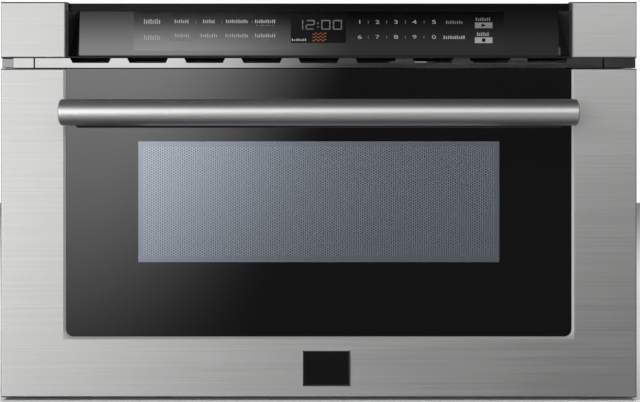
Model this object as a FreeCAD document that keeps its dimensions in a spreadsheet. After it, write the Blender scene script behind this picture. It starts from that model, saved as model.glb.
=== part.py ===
import FreeCAD, Part
import math
import os
import Sketcher

from FreeCAD import Rotation, Vector

# A 24-inch microwave drawer. X runs to the right, Y back into the cabinet, Z up.
# The origin lies on the underside of the chassis, in the plane of the cabinet's face.

doc = FreeCAD.newDocument("microwave_drawer")

# Driving dimensions, in mm
SIZES = [
    ("front_width", 606, "whole front, side to side"),
    ("front_height", 377, "whole front, bottom to top"),
    ("front_bottom", 3, "front's lower edge above the chassis underside"),
    ("front_reach", 40, "front skin ahead of the cabinet face"),
    ("control_height", 53.5, "control section above the seam"),
    ("seam_height", 10, "gap between drawer front and control section"),
    ("cheek_width", 62, "steel cheek beside the control panel"),
    ("skin", 1.2, "stainless sheet"),
    ("skin_edge_r", 1.5, "outside bend of the stainless sheet"),
    ("fit_gap", 0.3, "clearance between seated pieces"),
    ("glass_thickness", 5, "door glass"),
    ("glass_recess", 0.8, "door glass behind the steel skin"),
    ("glass_corner_r", 7, "lower corners of the door glass"),
    ("lip_width", 4, "folded lip round the glass"),
    ("lip_bevel_width", 2.4, "polished bevel on the lip, across"),
    ("lip_bevel_depth", 1.0, "polished bevel on the lip, in depth"),
    ("lower_border", 58, "steel below the glass"),
    ("window_side", 69, "glass beside the viewing window"),
    ("window_under", 71, "glass below the viewing window"),
    ("window_over", 69.5, "glass above the viewing window"),
    ("screen_margin", 12, "window screen beyond the window"),
    ("screen_thickness", 0.6, "window screen sheet"),
    ("choke_margin", 6, "choke's inner wall outside the window"),
    ("choke_width", 24, "choke channel"),
    ("choke_cover_thickness", 2, "plastic cover of the choke"),
    ("pane_thickness", 3, "inner window"),
    ("handle_inset", 64, "bar's ends inside the front's sides"),
    ("handle_drop", 43.3, "bar's axis below the drawer front's upper edge"),
    ("handle_diameter", 24.5, "handle bar"),
    ("handle_standoff", 37, "bar's axis ahead of the front skin"),
    ("handle_end_r", 2.5, "rounding of the bar's ends"),
    ("post_inset", 21, "handle posts inside the bar's ends"),
    ("post_diameter", 15, "handle posts"),
    ("post_foot_diameter", 21, "handle post foot on the glass"),
    ("post_foot_height", 4, "handle post foot"),
    ("badge_width", 45, "blank badge plate"),
    ("badge_height", 34, "blank badge plate"),
    ("badge_under", 11, "badge plate above the front's lower edge"),
    ("badge_thickness", 1.6, "blank badge plate"),
    ("badge_rim", 1.2, "raised rim of the badge plate, across"),
    ("badge_sink", 0.5, "badge plate's field below its rim"),
    ("badge_offset", 7.2, "badge centre right of the middle"),
    ("plate", 1.2, "front plate of the chassis"),
    ("plate_inset", 4, "front plate inside the front's sides"),
    ("plate_drop", 6, "front plate below the front's upper edge"),
    ("plate_bottom", 4, "front plate's lower edge"),
    ("door_gap", 3, "closed drawer front to front plate"),
    ("window_clear", 2, "clearance round what passes the front plate"),
    ("chassis_inset", 25, "chassis body inside the front's sides"),
    ("chassis_drop", 10, "chassis body below the front's upper edge"),
    ("chassis_depth", 560, "chassis body"),
    ("sheet", 1, "chassis sheet"),
    ("fold", 12, "folded edge of a chassis panel"),
    ("cavity_side", 58, "chassis side to the cooking cavity"),
    ("cavity_over", 92, "chassis top above the cooking cavity"),
    ("cavity_behind", 140, "chassis behind the cooking cavity"),
    ("cavity_floor", 98, "cavity's inner floor above the base"),
    ("cavity_sheet", 0.8, "cavity sheet"),
    ("cavity_slot_pitch", 9, "air slots in the cavity's side"),
    ("cavity_slot_count", 8, "air slots in the cavity's side"),
    ("cavity_slot_length", 30, "air slots in the cavity's side"),
    ("tub_side_gap", 4, "tub to cavity wall"),
    ("tub_floor_gap", 3, "tub to cavity floor"),
    ("tub_back_gap", 14, "tub to cavity back wall"),
    ("tub_wall", 4, "tub wall"),
    ("tub_over", 85, "room above the tub"),
    ("tub_corner_r", 22, "tub's back corners"),
    ("tub_rim", 7, "rolled rim of the tub"),
    ("tray_thickness", 5, "glass-ceramic tray"),
    ("tray_margin", 14, "tray to the tub's inner wall"),
    ("tray_rim", 8, "raised border of the tray"),
    ("tray_well", 1.5, "tray's middle below its border"),
    ("travel", 400, "drawer travel"),
    ("slide_overlap", 50, "slide length beyond the drawer's travel"),
    ("rail_height", 45.6, "outer slide member"),
    ("rail_depth", 12.7, "slide set, side to side"),
    ("rail_sheet", 1.2, "slide member sheet"),
    ("rail_gap", 0.4, "running gap between slide members"),
    ("rail_lip", 2.8, "turned lip of a slide member"),
    ("rail_start", 4, "front end of the slides"),
    ("rail_inset", 35, "slide's fixed face inside the chassis side"),
    ("rail_axis_height", 50, "slide's middle height above the base"),
    ("rail_pad", 3.7, "raised pad on the inner member"),
    ("carrier_sheet", 1.6, "carrier arm"),
    ("carrier_height", 52, "carrier arm"),
    ("carrier_flange", 26, "carrier arm's flange on the drawer front"),
    ("carrier_taper", 10, "carrier arm's rear part is lower by this"),
    ("carrier_slope", 40, "length of the step down to that rear part"),
    ("bracket_height", 74, "upright on the base that holds a slide"),
    ("bracket_sheet", 1.5, "upright on the base that holds a slide"),
    ("bracket_over", 6, "upright on the base behind the slide"),
    ("tooth_module", 2.5, "rack and pinion"),
    ("pinion_teeth", 12, "drive pinion"),
    ("tooth_backlash", 0.6, "rack and pinion"),
    ("rack_back", 8, "rack bar behind its teeth"),
    ("rack_height", 12, "rack bar"),
    ("rack_bottom", 30, "rack bar above the base"),
    ("rack_overrun", 36, "rack length beyond the drawer's travel"),
    ("pinion_place", 24, "pinion axis behind the cabinet face"),
    ("shaft_diameter", 6, "drive shaft"),
    ("shaft_fit", 0.05, "radial play of a shaft in its bore"),
    ("gearbox_height", 23, "drive gearbox"),
    ("gearbox_length", 80, "drive gearbox, side to side"),
    ("gearbox_end", 18, "gearbox beyond the pinion axis"),
    ("gearbox_front", 6, "gearbox behind the cabinet face"),
    ("gearbox_depth", 52, "drive gearbox, front to back"),
    ("gearbox_edge_r", 5, "drive gearbox's corners"),
    ("gearbox_boss", 3, "boss round the shaft, above the gearbox"),
    ("gearbox_boss_r", 8, "boss round the shaft"),
    ("shaft_sunk", 4, "drive shaft inside the gearbox"),
    ("motor_offset", 42, "drive motor's axis beside the pinion's"),
    ("motor_r", 17, "drive motor"),
    ("motor_height", 42, "drive motor"),
    ("motor_behind", 8, "drive motor's axis behind the pinion's"),
    ("motor_cap_r", 6, "drive motor's bearing cap"),
    ("motor_cap_height", 5, "drive motor's bearing cap"),
    ("panel_rise", 1, "control glass above the section's lower edge"),
    ("panel_top", 1, "control glass below the section's upper edge"),
    ("housing_setback", 0.6, "control housing behind the front skin"),
    ("housing_behind", 6, "control housing behind its seat's upper end"),
    ("housing_rail_height", 8.5, "leaning rail across the recess's upper front edge"),
    ("housing_rail_run", 2.6, "leaning rail, measured level"),
    ("housing_wall", 2, "control housing"),
    ("housing_rib", 4, "control housing behind the glass"),
    ("recess_depth", 58, "top of the control glass behind the front"),
    ("control_glass_run", 5.6, "control glass, measured level"),
    ("touch_board_run", 2.4, "touch board, measured level"),
    ("touch_board_inset", 20, "touch board inside the recess's sides"),
    ("touch_board_margin", 4, "touch board inside the housing's hollow, above and below"),
    ("display_margin", 6, "display module inside the touch board, above and below"),
    ("display_width", 60, "display module"),
    ("display_run", 8, "display module, measured level"),
    ("slot_count", 9, "vent slots"),
    ("slot_margin", 3.4, "glass side to the nearest vent slot"),
    ("slot_tab", 14.4, "tab between two vent slots at their top"),
    ("slot_slant", 2.75, "slope of a vent slot's end"),
    ("slot_height", 4.3, "vent slot"),
    ("slot_depth", 26, "vent slot, back into the strip's upper flange"),
    ("grille_inset", 32.5, "vent strip inside the front's sides"),
    ("grille_setback", 1, "vent strip behind the front"),
    ("grille_under", 0.8, "vent strip above the drawer front"),
    ("grille_over", 0.2, "vent strip below the control section"),
    ("bracket_gap", 1.4, "vent strip to the bracket beside it"),
    ("bracket_width", 19, "bracket beside the vent strip"),
    ("bracket_step", 9, "outer end of the bracket behind its front"),
    ("bracket_end", 1.5, "bracket's outer end inside the front's side"),
    ("cabinet_hole_r", 2.6, "cabinet screw holes"),
    ("cabinet_hole_inset", 15, "cabinet screw holes inside the front's sides"),
    ("cabinet_hole_low", 66, "lower cabinet screw holes above the base"),
    ("cabinet_hole_drop", 74, "upper cabinet screw holes below the front's top"),
    ("dome_r", 112, "stirrer dome"),
    ("dome_rim", 10, "stirrer dome's rim on the cavity"),
    ("dome_height", 26, "stirrer dome"),
    ("dome_edge_r", 8, "stirrer dome's upper edge"),
    ("cover_thickness", 2, "disc under the stirrer"),
    ("stirrer_share", 0.5, "stirrer axis, as a share of the cavity's depth"),
    ("stirrer_reach", 88, "stirrer blade radius"),
    ("stirrer_lift", 7, "stirrer above the cavity's roof"),
    ("vane_width", 28, "stirrer vane"),
    ("vane_thickness", 1.5, "stirrer vane"),
    ("spindle_r", 4, "stirrer spindle"),
    ("coupling_hole_r", 12, "hole for the stirrer spindle in the waveguide"),
    ("stirrer_motor_r", 24, "stirrer motor"),
    ("stirrer_motor_height", 14, "stirrer motor"),
    ("guide_width", 96, "waveguide"),
    ("guide_height", 42, "waveguide"),
    ("guide_front", 50, "waveguide ahead of the stirrer axis"),
    ("guide_slant", 18, "waveguide's slanted front end"),
    ("guide_end", 40, "waveguide behind the magnetron's axis"),
    ("tube_place", 82, "magnetron's axis ahead of the chassis's back"),
    ("tube_width", 92, "magnetron"),
    ("tube_depth", 76, "magnetron"),
    ("tube_height", 72, "magnetron's yoke"),
    ("tube_sheet", 2, "magnetron's yoke"),
    ("tube_core_r", 19, "magnetron's core"),
    ("fin_pitch", 9, "magnetron's cooling fins"),
    ("fin_count", 6, "magnetron's cooling fins"),
    ("filter_height", 32.5, "magnetron's filter box"),
    ("antenna_r", 8, "magnetron's antenna"),
    ("antenna_height", 24, "magnetron's antenna"),
    ("antenna_hole_r", 17, "hole for the antenna in the waveguide"),
    ("fan_inset", 128, "fan axis inside the chassis's side"),
    ("fan_drop", 170, "fan axis below the chassis's top"),
    ("fan_r", 52, "fan wheel"),
    ("fan_depth", 24, "fan wheel"),
    ("fan_hub_r", 14, "fan wheel's hub"),
    ("fan_shaft_r", 2, "fan motor's shaft"),
    ("fan_blades", 7, "fan wheel"),
    ("fan_frame", 6, "fan shroud outside the wheel"),
    ("fan_frame_r", 8, "fan shroud's corners"),
    ("fan_arm", 10, "arms that hold the fan motor, across"),
    ("fan_arm_depth", 3, "arms that hold the fan motor, in depth"),
    ("fan_motor_r", 22, "fan motor"),
    ("fan_motor_depth", 26, "fan motor"),
    ("fan_cap_r", 9, "fan motor's bearing cap"),
    ("fan_cap_depth", 6, "fan motor's bearing cap"),
    ("core_width", 96, "transformer core"),
    ("core_depth", 82, "transformer core"),
    ("core_height", 83, "transformer core"),
    ("core_leg", 14, "transformer core's outer legs"),
    ("core_window", 20, "transformer core's windows, across"),
    ("coil_bulge", 16, "coils beyond the core's sides"),
    ("coil_height", 21, "transformer coil"),
    ("core_inset", 112, "transformer core inside the chassis's side"),
    ("coil_play", 1, "coil to the core's window"),
    ("core_place", 114, "transformer core's front ahead of the chassis's back"),
    ("can_length", 60, "capacitor"),
    ("can_depth", 36, "capacitor"),
    ("can_height", 91, "capacitor"),
    ("can_right", 20, "capacitor's right end from the middle"),
    ("can_place", 100, "capacitor's front ahead of the chassis's back"),
    ("terminal_r", 4, "capacitor's terminals"),
    ("terminal_height", 10, "capacitor's terminals"),
    ("terminal_pitch", 30, "capacitor's terminals"),
    ("board_clear", 6, "power board beside the stirrer dome"),
    ("board_depth", 180, "power board"),
    ("board_thickness", 1.6, "power board"),
    ("board_lift", 10, "power board above the cavity"),
    ("board_inset", 10, "power board inside the cavity's side"),
    ("board_front", 70, "power board behind the cabinet face"),
    ("board_post_r", 3, "power board's posts"),
    ("board_post_inset", 6, "power board's posts inside its edges"),
    ("board_rise", 30, "tallest component on the power board"),
    ("board_can_r", 7, "round components on the power board"),
    ("lamp_depth", 70, "lamp holder, front to back"),
    ("lamp_height", 42, "lamp holder"),
    ("lamp_width", 20, "lamp holder, out from the cavity"),
    ("lamp_drop", 24, "lamp holder below the cavity's roof"),
    ("lamp_place", 26, "lamp holder ahead of the cavity's back"),
    ("lamp_base_r", 9, "lamp's cap"),
    ("lamp_base_length", 15, "lamp's cap"),
    ("base_slot_pitch", 18, "air slots in the base"),
    ("base_slot_count", 9, "air slots in the base"),
    ("base_slot_length", 80, "air slots in the base"),
    ("base_slot_width", 6, "air slots in the base"),
    ("base_slot_side", 20, "air slots in the base, from the middle"),
    ("base_slot_front", 120, "first air slot in the base behind the cabinet face"),
    ("vent_slot_width", 4, "air slots in the covers"),
    ("vent_slot_behind", 20, "air slots in the covers behind the cavity"),
    ("side_slot_length", 60, "air slots in the sides"),
    ("side_slot_pitch", 9, "air slots in the sides"),
    ("side_slot_count", 11, "air slots in the sides"),
    ("side_slot_drop", 110, "air slots in the sides below the chassis's top"),
    ("top_slot_length", 70, "air slots in the top"),
    ("top_slot_pitch", 9, "air slots in the top"),
    ("top_slot_count", 9, "air slots in the top"),
    ("top_slot_inset", 128, "first air slot in the top inside the chassis's side"),
    ("back_slot_pitch", 10, "air slots in the back"),
    ("back_slot_count", 9, "air slots in front of the fan"),
    ("outlet_slot_count", 8, "air outlet slots"),
    ("outlet_slot_length", 120, "air outlet slots"),
    ("outlet_inset", 58, "air outlet inside the chassis's side"),
    ("outlet_drop", 150, "lowest air outlet slot below the chassis's top"),
    ("gland_inset", 78, "cord grommet inside the chassis's side"),
    ("gland_height", 60, "cord grommet above the base"),
    ("gland_r", 15, "cord grommet's flange"),
    ("gland_neck_r", 10.7, "cord grommet in the back sheet"),
    ("gland_bore_r", 4.5, "cord grommet's bore"),
    ("gland_flange", 3, "cord grommet inside the back sheet"),
    ("gland_nose", 4, "cord grommet behind the back sheet"),
    ("switch_width", 32, "interlock switch block"),
    ("switch_depth", 34, "interlock switch block"),
    ("switch_height", 68, "interlock switch block"),
    ("switch_groove", 4, "groove between the interlock's switches"),
    ("switch_middle", 28, "middle switch of the interlock"),
    ("switch_web", 10, "interlock block ahead of its grooves"),
    ("tongue_outside", 26, "door tongue outside the cavity"),
    ("tongue_length", 26, "door tongue behind the cabinet face"),
    ("tongue_thickness", 3, "door tongue"),
    ("tongue_height", 14, "door tongue"),
    ("tongue_clear", 0.5, "door tongue to its switch block"),
    ("tongue_taper", 3, "tapered tip of the door tongue"),
    ("screw_r", 3.4, "screw head"),
    ("screw_head", 1.8, "screw head"),
    ("screw_inset", 14, "cover screws from a cover's edge"),
    ("back_screw_pitch", 180, "inner screws of the back"),
    ("side_screw_end", 40, "end screws of a side from the chassis's front and back"),
    ("arm_screw_pitch", 32, "screws of a carrier arm, up and down"),
]

sheet = doc.addObject("Spreadsheet::Sheet", "dim")
for row, (alias, number, note) in enumerate(SIZES, start=1):
    sheet.set(f"A{row}", alias)
    sheet.set(f"B{row}", str(number))
    sheet.setAlias(f"B{row}", alias)
    sheet.set(f"C{row}", note)
doc.recompute()

# Places worked out from the sizes
FRONT = "(-dim.front_reach)"
FRONT_HALF = "(dim.front_width/2)"
FRONT_TOP = "(dim.front_bottom + dim.front_height)"
PANEL_HALF = "(dim.front_width/2 - dim.cheek_width)"
CONTROL_BOTTOM = f"({FRONT_TOP} - dim.control_height)"
DRAWER_TOP = f"({CONTROL_BOTTOM} - dim.seam_height)"
PLATE_FRONT = "(-dim.plate)"
PLATE_TOP = f"({FRONT_TOP} - dim.plate_drop)"
DOOR_BACK = "(-dim.plate - dim.door_gap)"
GLASS_BOTTOM = "(dim.front_bottom + dim.lower_border)"
GLASS_FRONT = f"({FRONT} + dim.glass_recess)"
GLASS_BACK = f"({GLASS_FRONT} + dim.glass_thickness)"
WINDOW_HALF = f"({PANEL_HALF} - dim.window_side)"
WINDOW_LOW = f"({GLASS_BOTTOM} + dim.window_under)"
WINDOW_TOP = f"({DRAWER_TOP} - dim.window_over)"
HANDLE_Z = f"({DRAWER_TOP} - dim.handle_drop)"
HANDLE_HALF = f"({FRONT_HALF} - dim.handle_inset)"
POST_X = f"({HANDLE_HALF} - dim.post_inset)"
POST_HOLES = [(f"{sign}1*{POST_X}", HANDLE_Z, "(dim.screw_r/2 + dim.fit_gap)") for sign in ("", "-")]
BADGE_MIDDLE = "(dim.front_bottom + dim.badge_under + dim.badge_height/2)"
CHASSIS_HALF = f"({FRONT_HALF} - dim.chassis_inset)"
CHASSIS_TOP = f"({FRONT_TOP} - dim.chassis_drop)"
CHASSIS_BACK = "dim.chassis_depth"
CAVITY_HALF = f"({CHASSIS_HALF} - dim.cavity_side)"
CAVITY_TOP = f"({CHASSIS_TOP} - dim.cavity_over)"
CAVITY_BACK = "(dim.chassis_depth - dim.cavity_behind)"
RAIL_FACE = f"({CHASSIS_HALF} - dim.rail_inset)"
RAIL_END = "(dim.rail_start + dim.travel + dim.slide_overlap)"
STEP = "(dim.rail_sheet + dim.rail_gap)"
PAD_FACE = f"({RAIL_FACE} - dim.rail_depth + 2*{STEP} - dim.rail_pad)"
PITCH_R = "(dim.tooth_module*dim.pinion_teeth/2)"
PAST = 1  # how far a cutting tool reaches past what it cuts

PLANES = {"x": "YZ_Plane", "y": "XZ_Plane", "z": "XY_Plane"}
TURNS = {
    "x": Rotation(Vector(0, 0, 1), Vector(1, 0, 0)),
    "y": Rotation(Vector(0, 0, 1), Vector(0, 1, 0)),
    "z": Rotation(),
}
nodes = {}


def value(expression):
    """Number that an expression gives with the sheet's sizes."""
    result = sheet.evalExpression(str(expression))
    return float(getattr(result, "Value", result))


def node(name, thing):
    """Names a finished piece."""
    thing.Label = name
    nodes[name] = thing
    return thing


# Blocks, rods and their sums
def box(name, x, y, z):
    """Block between a low and a high limit on each axis."""
    block = doc.addObject("Part::Box", name)
    for size, axis, (low, high) in zip(("Length", "Width", "Height"), "xyz", (x, y, z)):
        block.setExpression(size, f"({high}) - ({low})")
        block.setExpression(f"Placement.Base.{axis}", str(low))
    return block


def rod(name, axis, centre, low, high, radius):
    """Round bar along an axis, between two limits."""
    bar = doc.addObject("Part::Cylinder", name)
    bar.Placement = FreeCAD.Placement(Vector(), TURNS[axis])
    across = [letter for letter in "xyz" if letter != axis]
    places = dict(zip(across, centre))
    places[axis] = low
    for letter, place in places.items():
        bar.setExpression(f"Placement.Base.{letter}", str(place))
    bar.setExpression("Radius", str(radius))
    bar.setExpression("Height", f"({high}) - ({low})")
    return bar


def fuse(name, parts):
    """One solid from touching parts, or one group from parts that stand apart."""
    whole = doc.addObject("Part::MultiFuse", name)
    whole.Shapes = parts
    whole.Refine = True
    return whole


def cut(name, base, tools):
    """A base less its tools."""
    rest = doc.addObject("Part::Cut", name)
    rest.Base = base
    rest.Tool = tools[0] if len(tools) == 1 else fuse(f"{name}_tools", tools)
    rest.Refine = True
    return rest


# Sketched bodies
def body(name):
    """Empty body that becomes a piece."""
    return node(name, doc.addObject("PartDesign::Body", name))


def sketch(owner, axis, level, outlines=(), circles=()):
    """Sketch across an axis, of closed straight-sided outlines and circles."""
    flat = owner.newObject("Sketcher::SketchObject", f"{owner.Label}_sketch")
    plane = next(item for item in owner.Origin.OriginFeatures if item.Role == PLANES[axis])
    flat.AttachmentSupport = [(plane, "")]
    flat.MapMode = "FlatFace"
    flat.setExpression("AttachmentOffset.Base.z", f"-({level})" if axis == "y" else str(level))
    for points in outlines:
        add_outline(flat, points)
    for a, b, radius in circles:
        add_circle(flat, a, b, radius)
    return flat


def add_outline(flat, points):
    first = flat.GeometryCount
    spots = [Vector(value(a), value(b), 0) for a, b in points]
    for start, end in zip(spots, spots[1:] + spots[:1]):
        flat.addGeometry(Part.LineSegment(start, end), False)
    count = len(points)
    for index in range(count):
        following = first + (index + 1) % count
        flat.addConstraint(Sketcher.Constraint("Coincident", first + index, 2, following, 1))
    for index, (a, b) in enumerate(points):
        pin_down(flat, "DistanceX", first + index, 1, a, spots[index].x)
        pin_down(flat, "DistanceY", first + index, 1, b, spots[index].y)


def add_circle(flat, a, b, radius):
    ring = Part.Circle(Vector(value(a), value(b), 0), Vector(0, 0, 1), value(radius))
    index = flat.addGeometry(ring, False)
    pin_down(flat, "DistanceX", index, 3, a, value(a))
    pin_down(flat, "DistanceY", index, 3, b, value(b))
    limit = flat.addConstraint(Sketcher.Constraint("Radius", index, value(radius)))
    flat.renameConstraint(limit, f"radius_{index}")
    flat.setExpression(f"Constraints.radius_{index}", str(radius))


def pin_down(flat, kind, index, point, expression, number):
    """Ties one coordinate of a sketch point to an expression."""
    limit = flat.addConstraint(Sketcher.Constraint(kind, -1, 1, index, point, number))
    name = f"{kind.lower()}_{index}"
    flat.renameConstraint(limit, name)
    flat.setExpression(f"Constraints.{name}", str(expression))


def pad(owner, axis, low, high, outlines=(), circles=()):
    """Adds a prism between two levels on an axis."""
    flat = sketch(owner, axis, high if axis == "y" else low, outlines, circles)
    feature = owner.newObject("PartDesign::Pad", f"{owner.Label}_pad")
    feature.Profile = flat
    feature.setExpression("Length", f"({high}) - ({low})")
    doc.recompute()
    return feature


def pocket(owner, axis, low, high, outlines=(), circles=()):
    """Cuts a prism between two levels on an axis."""
    flat = sketch(owner, axis, low if axis == "y" else high, outlines, circles)
    before = owner.Shape.Volume
    feature = owner.newObject("PartDesign::Pocket", f"{owner.Label}_pocket")
    feature.Profile = flat
    feature.setExpression("Length", f"({high}) - ({low})")
    doc.recompute()
    if owner.Shape.Volume >= before:
        raise RuntimeError(f"{owner.Label}: a pocket cut nothing")
    return feature


def repeat(owner, feature, pitch, count, direction="H_Axis", reverse=False):
    """Repeats a feature in a row, from the first one on."""
    row = owner.newObject("PartDesign::LinearPattern", f"{owner.Label}_row")
    row.Originals = [feature]
    row.Direction = (feature.Profile[0], [direction])
    row.Reversed = reverse
    row.setExpression("Length", f"({pitch})*({count} - 1)")
    row.setExpression("Occurrences", str(count))
    owner.Tip = row
    doc.recompute()
    return row


def edges(shape, run, **where):
    """Names of the straight edges along an axis that stand at the given places."""
    names = []
    for number, edge in enumerate(shape.Edges, start=1):
        start, end = edge.Vertexes[0].Point, edge.Vertexes[-1].Point
        along = abs(getattr(end - start, run))
        if along < 0.5 or abs((end - start).Length - along) > 0.001:
            continue
        if all(any(abs(getattr(start, axis) - value(spot)) < 0.01 for spot in spots)
               for axis, spots in where.items()):
            names.append(f"Edge{number}")
    return names


def finish(owner, kind, size, names):
    """Fillets or chamfers a body's named edges."""
    base = owner.Tip
    feature = owner.newObject(f"PartDesign::{kind}", f"{owner.Label}_{kind.lower()}")
    feature.Base = (base, names)
    feature.setExpression("Radius" if kind == "Fillet" else "Size", str(size))
    doc.recompute()
    return feature


def rectangle(a_low, a_high, b_low, b_high):
    return [(a_low, b_low), (a_high, b_low), (a_high, b_high), (a_low, b_high)]


def centred(half, low, high):
    """Rectangle that is symmetric about the middle plane."""
    return rectangle(f"-({half})", half, low, high)


# Drawer front
def drawer_frame():
    """Stainless tray, open at the back, with a U-shaped face and a folded lip round the glass."""
    frame = body("drawer_frame")
    inner_half = f"({FRONT_HALF} - dim.skin)"
    lip_half = f"({PANEL_HALF} + dim.lip_width)"
    lip_bottom = f"({GLASS_BOTTOM} - dim.lip_width)"
    pad(frame, "y", FRONT, DOOR_BACK, [centred(FRONT_HALF, "dim.front_bottom", DRAWER_TOP)])
    pocket(frame, "y", f"({FRONT} - {PAST})", f"({DOOR_BACK} + {PAST})",
           [centred(PANEL_HALF, GLASS_BOTTOM, f"({DRAWER_TOP} + {PAST})")])
    hollow = [
        (f"-{inner_half}", "(dim.front_bottom + dim.skin)"),
        (inner_half, "(dim.front_bottom + dim.skin)"),
        (inner_half, f"({DRAWER_TOP} - dim.skin)"),
        (lip_half, f"({DRAWER_TOP} - dim.skin)"),
        (lip_half, lip_bottom),
        (f"-{lip_half}", lip_bottom),
        (f"-{lip_half}", f"({DRAWER_TOP} - dim.skin)"),
        (f"-{inner_half}", f"({DRAWER_TOP} - dim.skin)"),
    ]
    pocket(frame, "y", f"({FRONT} + dim.skin)", f"({DOOR_BACK} + {PAST})", [hollow])
    pocket(frame, "y", GLASS_BACK, f"({DOOR_BACK} + {PAST})",
           [centred(f"({lip_half} + {PAST})", f"({lip_bottom} - {PAST})", f"({DRAWER_TOP} + {PAST})")])
    finish(frame, "Fillet", "dim.glass_corner_r",
           edges(frame.Shape, "y", x=(PANEL_HALF, f"-{PANEL_HALF}"), z=(GLASS_BOTTOM,)))
    finish(frame, "Fillet", "dim.skin_edge_r",
           edges(frame.Shape, "z", x=(FRONT_HALF, f"-{FRONT_HALF}"), y=(FRONT,))
           + edges(frame.Shape, "x", y=(FRONT,), z=("dim.front_bottom", DRAWER_TOP)))
    base, names = frame.Tip, opening_edges(frame.Shape)
    bevel = frame.newObject("PartDesign::Chamfer", "drawer_frame_bevel")
    bevel.Base = (base, names)
    bevel.ChamferType = "Two distances"
    bevel.setExpression("Size", "dim.lip_bevel_width")
    bevel.setExpression("Size2", "dim.lip_bevel_depth")
    doc.recompute()


def opening_edges(shape):
    """Names of the front edges round the glass opening, its round corners included."""
    names = []
    for number, edge in enumerate(shape.Edges, start=1):
        span = edge.BoundBox
        in_front = max(abs(span.YMin - value(FRONT)), abs(span.YMax - value(FRONT))) < 0.01
        inside = max(abs(span.XMin), abs(span.XMax)) < value(PANEL_HALF) + 0.01
        if in_front and inside and span.ZMin > value(GLASS_BOTTOM) - 0.01:
            names.append(f"Edge{number}")
    return names


def door_glass():
    """Black glass with two rounded lower corners and a hole behind each handle post."""
    glass = body("door_glass")
    half = f"({PANEL_HALF} - dim.fit_gap)"
    bottom = f"({GLASS_BOTTOM} + dim.fit_gap)"
    pad(glass, "y", GLASS_FRONT, GLASS_BACK, [centred(half, bottom, f"({DRAWER_TOP} - dim.fit_gap)")])
    pocket(glass, "y", f"({GLASS_FRONT} - {PAST})", f"({GLASS_BACK} + {PAST})", circles=POST_HOLES)
    finish(glass, "Fillet", "dim.glass_corner_r",
           edges(glass.Shape, "y", x=(half, f"-{half}"), z=(bottom,)))


def door_pan():
    """Pressed pan inside the steel frame, with the window opening and folded walls."""
    pan = body("door_pan")
    gap = "(dim.skin + dim.fit_gap)"
    half = f"({FRONT_HALF} - {gap})"
    low, high = f"(dim.front_bottom + {gap})", f"({DRAWER_TOP} - {gap})"
    pad(pan, "y", GLASS_BACK, DOOR_BACK, [centred(half, low, high)])
    pocket(pan, "y", f"({GLASS_BACK} + dim.skin)", f"({DOOR_BACK} + {PAST})",
           [centred(f"({half} - dim.skin)", f"({low} + dim.skin)", f"({high} - dim.skin)")])
    pocket(pan, "y", f"({GLASS_BACK} - {PAST})", f"({GLASS_BACK} + dim.skin + {PAST})",
           [centred(WINDOW_HALF, WINDOW_LOW, WINDOW_TOP)])
    pocket(pan, "y", f"({GLASS_BACK} - {PAST})", f"({GLASS_BACK} + dim.skin + {PAST})", circles=POST_HOLES)


def window_screen():
    """Perforated sheet behind the window; its fine holes are left to the finish."""
    reach = "dim.screen_margin"
    start = f"({GLASS_BACK} + dim.skin)"
    node("window_screen", box("window_screen_sheet",
         (f"-({WINDOW_HALF} + {reach})", f"({WINDOW_HALF} + {reach})"),
         (start, f"({start} + dim.screen_thickness)"),
         (f"({WINDOW_LOW} - {reach})", f"({WINDOW_TOP} + {reach})")))


CHOKE_FRONT = f"({GLASS_BACK} + dim.skin + dim.screen_thickness)"
CHOKE_INNER = (f"({WINDOW_HALF} + dim.choke_margin)", f"({WINDOW_LOW} - dim.choke_margin)",
               f"({WINDOW_TOP} + dim.choke_margin)")


def grown(opening, margin):
    """Half width, low and high of an opening made larger all round."""
    half, low, high = opening
    return f"({half} + {margin})", f"({low} - {margin})", f"({high} + {margin})"


def choke_pieces():
    """Folded channel round the window, its plastic cover, the door's inner panel and the inner window."""
    choke = body("choke_ring")
    outer = grown(CHOKE_INNER, "dim.choke_width")
    cover_front = f"({DOOR_BACK} - dim.choke_cover_thickness)"
    pad(choke, "y", CHOKE_FRONT, cover_front, [centred(*outer)])
    pocket(choke, "y", f"({CHOKE_FRONT} - {PAST})", f"({cover_front} + {PAST})", [centred(*CHOKE_INNER)])
    pocket(choke, "y", f"({CHOKE_FRONT} + dim.skin)", f"({cover_front} + {PAST})",
           [centred(*grown(outer, "(-dim.skin)")), centred(*grown(CHOKE_INNER, "dim.skin"))])
    panel = body("door_inner_panel")
    edge = "(2*dim.skin + 2*dim.fit_gap)"
    panel_front = f"({DOOR_BACK} - dim.skin)"
    pad(panel, "y", panel_front, DOOR_BACK,
        [centred(f"({FRONT_HALF} - {edge})", f"(dim.front_bottom + {edge})", f"({DRAWER_TOP} - {edge})")])
    pocket(panel, "y", f"({panel_front} - {PAST})", f"({DOOR_BACK} + {PAST})",
           [centred(*grown(outer, "dim.fit_gap"))])
    cover = body("choke_cover")
    pad(cover, "y", cover_front, DOOR_BACK, [centred(*outer)])
    pocket(cover, "y", f"({cover_front} - {PAST})", f"({DOOR_BACK} + {PAST})", [centred(*CHOKE_INNER)])
    pane = body("inner_window")
    pad(pane, "y", f"({DOOR_BACK} - dim.pane_thickness)", DOOR_BACK,
        [centred(*grown(CHOKE_INNER, "(-dim.fit_gap)"))])


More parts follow.
